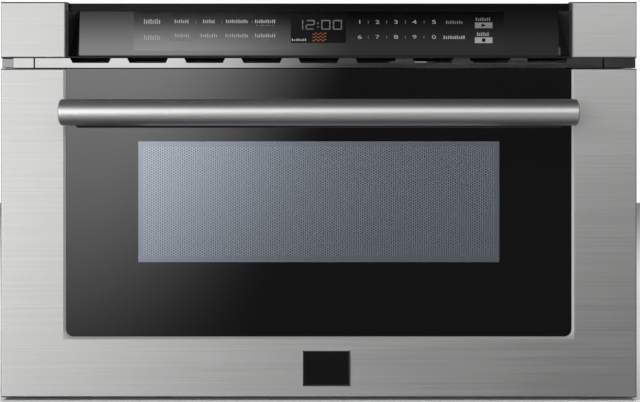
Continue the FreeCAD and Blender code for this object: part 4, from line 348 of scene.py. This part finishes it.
def housingMaterial(name, color, railLow, railBack):
    # moulded black, with the leaning rail across the front as glossy as the glass
    material = moulded(name, color, 0.55)
    graph = Graph(material)
    x, y, z = graph.split()
    rail = graph.math("MULTIPLY", graph.math("GREATER_THAN", z, railLow),
                      graph.math("LESS_THAN", y, railBack))
    satin = graph.ramp(graph.noise(22.0, None, 3.0), 0.3, 0.7, 0.52, 0.62)
    rough = graph.add("ShaderNodeMix", {0: rail, 2: satin, 3: 0.08}, data_type="FLOAT").outputs[0]
    graph.link(rough, "Roughness")
    return material


def glassMaterial(name, window):
    material = newMaterial(name, window["black"], 0.035, 0.0, Specular_IOR_Level=0.95)
    graph = Graph(material)
    dust = graph.noise(45.0, None, 3.0)
    x, y, z = graph.split()
    pitch = window["pitch"]
    cell = (1 / (pitch * math.sqrt(3)), 0.0, 1 / pitch)
    dots = []
    for shift in (0.0, 0.5):
        spot = graph.add("ShaderNodeVectorMath", {0: graph.place, 1: cell, 2: (shift, 0.0, shift)},
                         operation="MULTIPLY_ADD").outputs[0]
        part = graph.add("ShaderNodeVectorMath", {0: spot}, operation="FRACTION").outputs[0]
        middle = graph.add("ShaderNodeVectorMath", {0: part, 1: (0.5, 0.0, 0.5)},
                           operation="SUBTRACT").outputs[0]
        even = graph.add("ShaderNodeVectorMath", {0: middle, 1: (math.sqrt(3), 0.0, 1.0)},
                         operation="MULTIPLY").outputs[0]
        dots.append(graph.add("ShaderNodeVectorMath", {0: even}, operation="LENGTH").outputs["Value"])
    nearest = graph.math("MINIMUM", dots[0], dots[1])
    size = window["holeSize"]
    hole = graph.ramp(nearest, size - 0.05, size + 0.05, 1, 0, True)
    width = graph.math("ABSOLUTE", x)

    def inside(margin):
        side = graph.math("LESS_THAN", width, window["halfWidth"] - margin)
        tall = between(graph, z, window["low"] + margin, window["high"] - margin)
        return graph.math("MULTIPLY", side, tall)

    pane, field = inside(0.0), inside(window["flange"])
    metal = graph.mixColor(hole, color4(window["metal"]), color4(window["hole"]))
    sheetColor = graph.mixColor(field, color4(window["flangeColor"]), metal)
    graph.link(graph.mixColor(pane, color4(window["black"]), sheetColor), "Base Color")
    graph.link(graph.math("MULTIPLY", pane, 0.85), "Metallic")
    clear = graph.ramp(dust, 0.3, 0.8, 0.02, 0.055)
    rough = graph.add("ShaderNodeMix", {0: pane, 2: clear, 3: window["roughness"]},
                      data_type="FLOAT").outputs[0]
    graph.link(rough, "Roughness")
    graph.shader.inputs["Coat Weight"].default_value = 1.0
    graph.shader.inputs["Coat Roughness"].default_value = 0.03
    return material


# painted shade: the bevel round the glass and the inner bends of the cheeks are given darker, less metallic
# copies of the steel
bevelShade = {
    "half": 243.5 * mm,
    "low": 58.5 * mm,
    "high": 317 * mm,
    "color": (0.34, 0.34, 0.335),
    "roughness": 0.45,
    "metallic": 0.4,
}
cheekBendShade = {
    "half": 242.5 * mm,
    "low": 0.0,
    "high": 400 * mm,
    "color": (0.16, 0.16, 0.16),
    "roughness": 0.5,
    "metallic": 0.7,
}
# heights and depth at which a finish changes
# painted shade: the black band behind the vent slots lies between these heights
slotShadeHeights = (312 * mm, 330 * mm)
railGloss = {"low": 371.6 * mm, "back": -20 * mm}

# every CAD piece gets its finish
frontSteel = brushedSteel("frontSteel", steelFinish, "x", cheekBendShade)
frameSteel = brushedSteel("frameSteel", steelFinish, "x", bevelShade)
doorGlass = glassMaterial("doorGlass", windowSetup)
panelGlass = panelMaterial("panelGlass", touchField)
stripSteel = brushedSteel("stripSteel", stripFinish)
housingBlack = housingMaterial("housingBlack", (0.0035, 0.0035, 0.0038), railGloss["low"], railGloss["back"])
barSteel = polished("barSteel", (0.84, 0.84, 0.835), 0.44)
zincSheet = coatedMetal("zincSheet", (0.50, 0.515, 0.53), 0.42, 0.55, 0.05, 0.5)
# painted shade on the front plate: a matt black band behind the vent slots
plateZinc = slotShadeBand(coatedMetal("plateZinc", (0.50, 0.515, 0.53), 0.42, 0.55, 0.05, 0.5), *slotShadeHeights)
slideZinc = coatedMetal("slideZinc", (0.52, 0.54, 0.55), 0.32, 0.0, 0.05, 0.6)
motorPlate = coatedMetal("motorPlate", (0.42, 0.43, 0.45), 0.34, 0.0, 0.08, 0.6)
bareAluminium = coatedMetal("bareAluminium", (0.66, 0.67, 0.68), 0.32, 0.0, 0.06, 0.7)
screenSheet = coatedMetal("screenSheet", (0.40, 0.42, 0.46), 0.4, 0.0, 0.05)
brightScrew = coatedMetal("brightScrew", (0.66, 0.66, 0.66), 0.25, 0.0, 0.03)
laminations = coatedMetal("laminations", (0.20, 0.18, 0.17), 0.5, 0.0, 0.2, 0.6)
cavityEnamel = enamel("cavityEnamel", (0.60, 0.60, 0.575))
trayGlass = enamel("trayGlass", (0.74, 0.74, 0.71))
tubPlastic = moulded("tubPlastic", (0.66, 0.66, 0.63), 0.42)
blackPlastic = moulded("blackPlastic", (0.018, 0.018, 0.019), 0.42)
gearPlastic = moulded("gearPlastic", (0.74, 0.71, 0.62), 0.38)
whitePlastic = moulded("whitePlastic", (0.72, 0.72, 0.69), 0.40)
micaBoard = moulded("micaBoard", (0.50, 0.45, 0.36), 0.45, 0.3, 500.0)
boardGreen = moulded("boardGreen", (0.02, 0.12, 0.05), 0.30)
innerPane = moulded("innerPane", (0.10, 0.11, 0.12), 0.08)
badgeBlack = rimmedPlate("badgeBlack", (0.006, 0.006, 0.006), (0.80, 0.80, 0.80))

finishes = {
    frontSteel: ["cheek_left", "cheek_right"],
    stripSteel: ["vent_grille", "seam_brackets"],
    frameSteel: ["drawer_frame"],
    doorGlass: ["door_glass"],
    panelGlass: ["control_glass"],
    housingBlack: ["control_housing"],
    barSteel: ["handle_bar", "handle_posts"],
    plateZinc: ["front_plate"],
    zincSheet: ["door_pan", "choke_ring", "stirrer_dome", "waveguide", "base_plate",
                "side_panel_left", "side_panel_right", "top_cover", "back_cover"],
    slideZinc: ["carrier_left", "carrier_right", "slide_inner_left", "slide_inner_right",
                "slide_middle_left", "slide_middle_right", "slide_outer_left", "slide_outer_right"],
    motorPlate: ["stirrer_motor", "magnetron", "fan_motor", "drive_motor"],
    bareAluminium: ["capacitor", "stirrer_blade"],
    screenSheet: ["window_screen"],
    brightScrew: ["chassis_screws", "door_screws"],
    laminations: ["transformer"],
    cavityEnamel: ["cavity_shell", "door_inner_panel"],
    trayGlass: ["tub_tray"],
    tubPlastic: ["tub"],
    blackPlastic: ["choke_cover", "door_tongues", "display_module", "fan_shroud",
                   "fan_wheel", "cord_gland"],
    gearPlastic: ["rack", "drive_pinion"],
    whitePlastic: ["cavity_lamp", "drive_gearbox", "interlock_left", "interlock_right"],
    micaBoard: ["stirrer_cover"],
    boardGreen: ["touch_board", "power_board"],
    innerPane: ["inner_window"],
    badgeBlack: ["badge_plate"],
}
for material, names in finishes.items():
    for name in names:
        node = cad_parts[name]
        node.data.materials.clear()
        node.data.materials.append(material)
bare = set(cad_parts) - {name for names in finishes.values() for name in names}
print("finishes set, nodes without one:", sorted(bare))


# new pieces
def addPiece(name, mesh, material, body):
    data = bpy.data.meshes.new(name)
    mesh.to_mesh(data)
    mesh.free()
    piece = bpy.data.objects.new(name, data)
    bpy.context.collection.objects.link(piece)
    data.materials.append(material)
    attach(piece, body)
    return piece


def block(mesh, low, high, bevel=0.0, segments=2):
    # a block between two corners, its edges rounded if asked
    size = [high[i] - low[i] for i in range(3)]
    centre = [(high[i] + low[i]) / 2 for i in range(3)]
    place = Matrix.Translation(centre) @ Matrix.Diagonal((*size, 1))
    made = bmesh.ops.create_cube(mesh, size=1.0, matrix=place)
    if bevel:
        edges = list({edge for vert in made["verts"] for edge in vert.link_edges})
        bmesh.ops.bevel(mesh, geom=edges, offset=bevel, segments=segments, profile=0.5, affect="EDGES",
                        material=-1)


def onPanel(lift=1.0):
    # turns flat artwork in XY (x right, y up the glass) onto the leaning glass
    up, out = panel["up"], panel["out"]
    turn = Matrix(((1, 0, 0), (0, up.y, out.y), (0, up.z, out.z))).to_4x4()
    return Matrix.Translation(panel["low"] + out * panel["lift"] * lift) @ turn


def bar(mesh, left, top, right, bottom, lift=1.0):
    # a flat upright rectangle, given by columns and rows of the photograph
    corners = [(across(px) * deeper(py), along(py))
               for px, py in ((left, bottom), (right, bottom), (right, top), (left, top))]
    verts = [mesh.verts.new(onPanel(lift) @ Vector((u, v, 0))) for u, v in corners]
    mesh.faces.new(verts)


def emissive(name, color, strength):
    # artwork with a faint glow: on the printed ink and the pads the glow is painted light; the display's
    # figures and icon use it for their own light
    material = newMaterial(name, color, 0.4)
    graph = Graph(material)
    tone = graph.mixColor(graph.noise(400.0), color4(tuple(c * 0.92 for c in color)), color4(color))
    graph.link(tone, "Base Color")
    graph.shader.inputs["Emission Color"].default_value = color4(color)
    graph.shader.inputs["Emission Strength"].default_value = strength
    return material


# painted light: the white and dim inks glow faintly, also where they are printed marks and lines
inkWhite = emissive("inkWhite", panel["ink"], 0.02)
inkDim = emissive("inkDim", panel["dim"], 0.01)
lampOrange = emissive("lampOrange", panel["orange"], 0.1)
displayBlack = moulded("displayBlack", panel["screenTone"], 0.10)


def digits(name, words, material, lift=1.0):
    # plain figures, each given by its text, column and row of the photograph
    whole = bmesh.new()
    for text, px, py, size in words:
        curve = bpy.data.curves.new("figure", "FONT")
        curve.body, curve.size = text, size
        curve.align_x, curve.align_y = "CENTER", "CENTER"
        shown = bpy.data.objects.new("figure", curve)
        bpy.context.collection.objects.link(shown)
        bpy.context.view_layer.update()
        solved = shown.evaluated_get(bpy.context.evaluated_depsgraph_get())
        flat = bpy.data.meshes.new_from_object(solved)
        flat.transform(onPanel(lift) @ Matrix.Translation((across(px) * deeper(py), along(py), 0)))
        whole.from_mesh(flat)
        bpy.data.objects.remove(shown)
    return addPiece(name, whole, material, "chassis")


keys = {
    "rows": ((22.2, "12345"), (37.2, "67890")),
    "columns": (359.7, 377.4, 396.0, 414.5, 434.0),
    "height": 9.0 * mm,
}
keyFigures = [(text, px, py, keys["height"]) for py, row in keys["rows"]
              for text, px in zip(row, keys["columns"])]
digits("keyFigures", keyFigures, inkWhite)

# seven-bar figures of the clock: column, row and size in pixels of the photograph
segments = {
    "0": "abcdef", "1": "bc", "2": "abged", "3": "abgcd", "4": "fgbc", "5": "afgcd", "6": "afgedc",
    "7": "abc", "8": "abcdefg", "9": "abcdfg",
}
clock = {
    "text": "12:00",
    "left": 294.0,
    "top": 20.0,
    "bottom": 29.8,
    "wide": 9.2,
    "step": 11.6,
    "stroke": 1.2,
    "gap": 0.25,
    "dotRows": (22.6, 26.2),
    "dot": 1.4,
    "dotStep": 4.0,
    "lift": 1.6,
}


def segmentBars(mesh, figure, left, setup):
    top, bottom, wide, t = setup["top"], setup["bottom"], setup["wide"], setup["stroke"]
    middle, right, gap = (top + bottom) / 2, left + wide, setup["gap"]
    places = {
        "a": (left + t, top, right - t, top + t), "d": (left + t, bottom - t, right - t, bottom),
        "g": (left + t, middle - t / 2, right - t, middle + t / 2),
        "f": (left, top + gap, left + t, middle - gap),
        "b": (right - t, top + gap, right, middle - gap),
        "e": (left, middle + gap, left + t, bottom - gap),
        "c": (right - t, middle + gap, right, bottom - gap),
    }
    for letter in segments[figure]:
        bar(mesh, *places[letter], setup["lift"])


figures = bmesh.new()
place = clock["left"]
for figure in clock["text"]:
    if figure == ":":
        for row in clock["dotRows"]:
            bar(figures, place, row, place + clock["dot"], row + clock["dot"], clock["lift"])
        place += clock["dotStep"]
    else:
        segmentBars(figures, figure, place, clock)
        place += clock["step"]
addPiece("clockFigures", figures, inkDim, "chassis")


def markRow(mesh, left, right, top, bottom):
    # a row of small plain marks where the panel has a label
    count = max(2, round((right - left) / 2.1))
    pitch = (right - left) / count
    for index in range(count):
        low = left + index * pitch
        inset = (0.0, 0.9, 0.3)[index % 3]
        bar(mesh, low, top + inset, low + pitch * 0.55, bottom)


marks = bmesh.new()
for left, right, top, bottom in (
        (144, 161, 19.2, 24.0), (144, 161, 35.0, 39.8), (174.6, 189.4, 19.6, 23.2),
        (203, 215.4, 19.6, 23.2), (226, 248.6, 19.6, 23.2), (255, 276, 19.6, 23.2),
        (175, 190, 33.8, 37.4), (200.4, 218.2, 33.8, 37.4), (225.4, 248.8, 33.8, 37.4),
        (255, 276, 33.8, 37.4), (443.6, 465.6, 35.6, 39.0), (477, 489.5, 32.2, 36.0),
        (291.8, 306.9, 38.6, 41.0)):
    markRow(marks, left, right, top, bottom)
addPiece("panelMarks", marks, inkWhite, "chassis")
smallMarks = bmesh.new()
for left, right, top, bottom in (
        (256, 275, 24.6, 26.1), (170.5, 193.5, 38.9, 40.6), (262, 269.5, 38.9, 40.4),
        (446, 463.5, 20.6, 24.0), (475.7, 491, 17.6, 21.0)):
    markRow(smallMarks, left, right, top, bottom)
addPiece("smallMarks", smallMarks, inkDim, "chassis")

lines = bmesh.new()
bar(lines, 143, 29.2, 162, 30.0)
for column in (196, 222, 252, 368.2, 386.7, 405.4, 424):
    for row in (20.6, 35.6):
        bar(lines, column - 0.3, row, column + 0.3, row + 3.0)
addPiece("panelLines", lines, inkDim, "chassis")

# the two pads: tone, upper and lower row
pads = {
    "startPad": ((0.16, 0.16, 0.163), 22.6, 28.2),
    "stopPad": ((0.25, 0.25, 0.253), 37.3, 43.1),
}
# painted light: the printed pads glow faintly
for name, (tone, top, bottom) in pads.items():
    pad = bmesh.new()
    bar(pad, 474.8, top, 492.4, bottom)
    addPiece(name, pad, emissive(name, tone, 0.02), "chassis")

# pictograms on the two pads: a triangle to start and a square to stop
signs = bmesh.new()
corners = [(481.6, 23.6), (481.6, 27.2), (486.0, 25.4)]
spots = [Vector((across(px) * deeper(py), along(py), 0)) for px, py in corners]
signs.faces.new([signs.verts.new(onPanel(2.2) @ spot) for spot in spots])
bar(signs, 482.0, 38.5, 485.4, 41.9, 2.2)
addPiece("padSigns", signs, displayBlack, "chassis")

screen = bmesh.new()
bar(screen, 290.8, 15.8, 345.9, 42.9, 0.6)
addPiece("displayScreen", screen, displayBlack, "chassis")

# three waves one above another, as for warmth
waves = {
    "rows": (33.8, 37.0, 40.2),
    "left": 312.4,
    "points": 29,
    "pitch": 0.5,
    "swing": 0.9,
    "turn": 1.35,
    "half": 0.6,
    "lift": 1.6,
}
icon = bmesh.new()
for row in waves["rows"]:
    pairs = []
    for step in range(waves["points"]):
        run = step * waves["pitch"]
        py = row + waves["swing"] * math.sin(run * waves["turn"])
        wide = across(waves["left"] + run) * deeper(py)
        pairs.append([icon.verts.new(onPanel(waves["lift"]) @ Vector((wide, along(py + side), 0)))
                      for side in (-waves["half"], waves["half"])])
    for (a, b), (c, d) in zip(pairs, pairs[1:]):
        icon.faces.new((b, d, c, a))
addPiece("displayIcon", icon, lampOrange, "chassis")
print("panel artwork made")

# painted shade: dark blocks that close the two ends of the seam, on the stepped ends of the brackets,
# standing in for the shade there
endShadeBlock = {
    "inner": 288.8 * mm,
    "outer": 302.6 * mm,
    "setback": 2.5 * mm,
    "back": 9.0 * mm,
    "edge": 0.5 * mm,
}
seamLow, seamHigh = nodeBox("seam_brackets")
endShadeMetal = coatedMetal("endShadeMetal", (0.24, 0.24, 0.24), 0.09, 0.0, 0.0)
blocks = bmesh.new()
for side in (-1, 1):
    spots = sorted((side * endShadeBlock["inner"], side * endShadeBlock["outer"]))
    block(blocks, (spots[0], seamLow.y + endShadeBlock["setback"], seamLow.z),
          (spots[1], seamLow.y + endShadeBlock["back"], seamHigh.z), endShadeBlock["edge"])
addPiece("endShadeBlocks", blocks, endShadeMetal, "chassis")

# stage, light and camera: each band is the four heights between which a soft box rises and falls
studio = {
    "floor": (0.86, 0.86, 0.86),
    "leftGlow": 1.5,
    "glowSlant": 0.37,
    "nearBox": 2.2,
    "farBox": 2.2,
    "highBox": 0.6,
    "lowBox": 0.35,
    "leftWall": 4.9,
    "farRight": 0.10,
    "room": 0.045,
    "zenith": 1.02,
    "zenithRight": 0.115,
    "zenithFar": 0.02,
    "back": 1.1,
    "boxBand": (0.09, 0.16, 0.26, 0.34),
    "highBand": (0.26, 0.34, 0.46, 0.56),
    "lowBand": (-0.80, -0.70, -0.50, -0.42),
    "wallBand": (-0.35, -0.25, 0.0, 0.10),
}


def paleFloor():
    mesh = bmesh.new()
    bmesh.ops.create_grid(mesh, x_segments=1, y_segments=1, size=6.0)
    data = bpy.data.meshes.new("floor")
    mesh.to_mesh(data)
    mesh.free()
    floor = bpy.data.objects.new("floor", data)
    bpy.context.collection.objects.link(floor)
    data.materials.append(newMaterial("floorPale", studio["floor"], 0.9))
    floor.visible_glossy = False


def studioWorld():
    world = bpy.data.worlds.new("studio")
    bpy.context.scene.world = world
    world.use_nodes = True
    tree = world.node_tree
    tree.nodes.clear()

    def add(kind, inputs=(), **settings):
        node = tree.nodes.new(kind)
        for key, setting in settings.items():
            setattr(node, key, setting)
        for socket, source in dict(inputs).items():
            if isinstance(source, bpy.types.NodeSocket):
                tree.links.new(source, node.inputs[socket])
            else:
                node.inputs[socket].default_value = source
        return node

    def calc(operation, a, b=0.0):
        return add("ShaderNodeMath", {0: a, 1: b}, operation=operation).outputs[0]

    def step(source, low, high, toLow, toHigh):
        return add("ShaderNodeMapRange", {"Value": source, "From Min": low, "From Max": high,
                                          "To Min": toLow, "To Max": toHigh},
                   interpolation_type="SMOOTHSTEP").outputs[0]

    def band(low, lowEnd, highStart, high):
        return calc("MULTIPLY", step(z, low, lowEnd, 0, 1), step(z, highStart, high, 1, 0))

    coords = add("ShaderNodeTexCoord")
    x, y, z = add("ShaderNodeSeparateXYZ", {0: coords.outputs["Generated"]}).outputs
    isFront = step(y, -0.25, 0.05, 1, 0)
    slant = calc("SUBTRACT", x, calc("MULTIPLY", z, studio["glowSlant"]))
    rise = add("ShaderNodeMapRange", {"Value": z, "From Min": -0.17, "From Max": 0.09, "To Min": 0.03,
                                      "To Max": 1.12}).outputs[0]
    leftGlow = calc("MULTIPLY", step(slant, -0.17, 0.0, studio["leftGlow"], 0.0),
                    calc("MULTIPLY", rise, step(z, 0.09, 0.14, 1, 0)))
    # soft boxes in front, each between two heights
    nearBox = calc("MULTIPLY", band(*studio["boxBand"]),
                   step(x, -0.25, 0.05, studio["nearBox"], studio["farBox"]))
    highBox = calc("MULTIPLY", band(*studio["highBand"]), studio["highBox"])
    lowBox = calc("MULTIPLY", band(*studio["lowBand"]), studio["lowBox"])
    leftWall = calc("MULTIPLY", band(*studio["wallBand"]), step(x, -0.42, -0.23, studio["leftWall"], 0))
    leftWall = calc("MULTIPLY", leftWall, step(x, -0.75, -0.5, 0.15, 1))
    farRight = calc("MULTIPLY", step(z, -0.05, 0.05, 1, 0), step(x, 0.24, 0.6, 0, studio["farRight"]))
    front = studio["room"]
    for light in (leftGlow, nearBox, highBox, lowBox, leftWall, farRight):
        front = calc("ADD", front, light)
    # a narrow strip of light overhead, seen only in the leaning glass
    backward = calc("DIVIDE", y, calc("MAXIMUM", z, 0.1))
    overhead = calc("MULTIPLY", step(backward, 0.162, 0.184, 0, 1),
                    step(backward, 0.205, 0.240, 1, studio["zenithFar"]))
    zenith = calc("MULTIPLY", overhead, step(x, -0.13, 0.035, studio["zenith"], studio["zenithRight"]))
    isRear = step(y, 0.78, 0.95, 0, 1)
    rear = calc("MULTIPLY", isRear, studio["back"])
    level = calc("ADD", calc("ADD", calc("MULTIPLY", front, isFront), zenith), rear)
    lit = add("ShaderNodeBackground", {"Color": (1, 1, 1, 1), "Strength": level})
    white = add("ShaderNodeBackground", {"Color": (1, 1, 1, 1), "Strength": 1.0})
    rays = add("ShaderNodeLightPath")
    mirrored = calc("MAXIMUM", rays.outputs["Is Glossy Ray"], rays.outputs["Is Transmission Ray"])
    seesWhite = calc("MAXIMUM", rays.outputs["Is Camera Ray"], calc("MULTIPLY", mirrored, isRear))
    mixed = add("ShaderNodeMixShader", {0: seesWhite, 1: lit.outputs[0], 2: white.outputs[0]})
    out = add("ShaderNodeOutputWorld")
    tree.links.new(mixed.outputs[0], out.inputs["Surface"])


def softLamp(name, place, aim, size, power):
    data = bpy.data.lights.new(name, "AREA")
    data.shape, data.size, data.energy = "DISK", size, power
    lamp = bpy.data.objects.new(name, data)
    bpy.context.collection.objects.link(lamp)
    lamp.location = place
    lamp.rotation_euler = (Vector(aim) - Vector(place)).to_track_quat("-Z", "Y").to_euler()
    lamp.visible_glossy = False


paleFloor()
studioWorld()
softLamp("keyLamp", (-1.4, -1.8, 2.0), (0, 0.1, 0.2), 1.4, 45)
softLamp("topLamp", (0.3, 0.6, 2.8), (0, 0.3, 0.0), 2.6, 60)

# the picture's width at the front plane, its middle in pixels, and the sensor's width in millimetres
camera = {
    "width": 0.6096,
    "middle": (320, 201),
    "sensor": 36.0,
}
data = bpy.data.cameras.new("camera")
data.sensor_width = camera["sensor"]
data.lens = camera["sensor"] * photo["distance"] / camera["width"]
pictureMiddle = cadHigh.z - (camera["middle"][1] - photo["top"]) * photo["scale"]
data.shift_y = (pictureMiddle - photo["eye"]) / camera["width"]
viewer = bpy.data.objects.new("camera", data)
bpy.context.collection.objects.link(viewer)
viewer.location = (across(camera["middle"][0]), frontPlane - photo["distance"], photo["eye"])
viewer.rotation_euler = (math.radians(90), 0, 0)
bpy.context.scene.camera = viewer
bpy.context.scene.view_settings.view_transform = "Standard"
print("stage set")
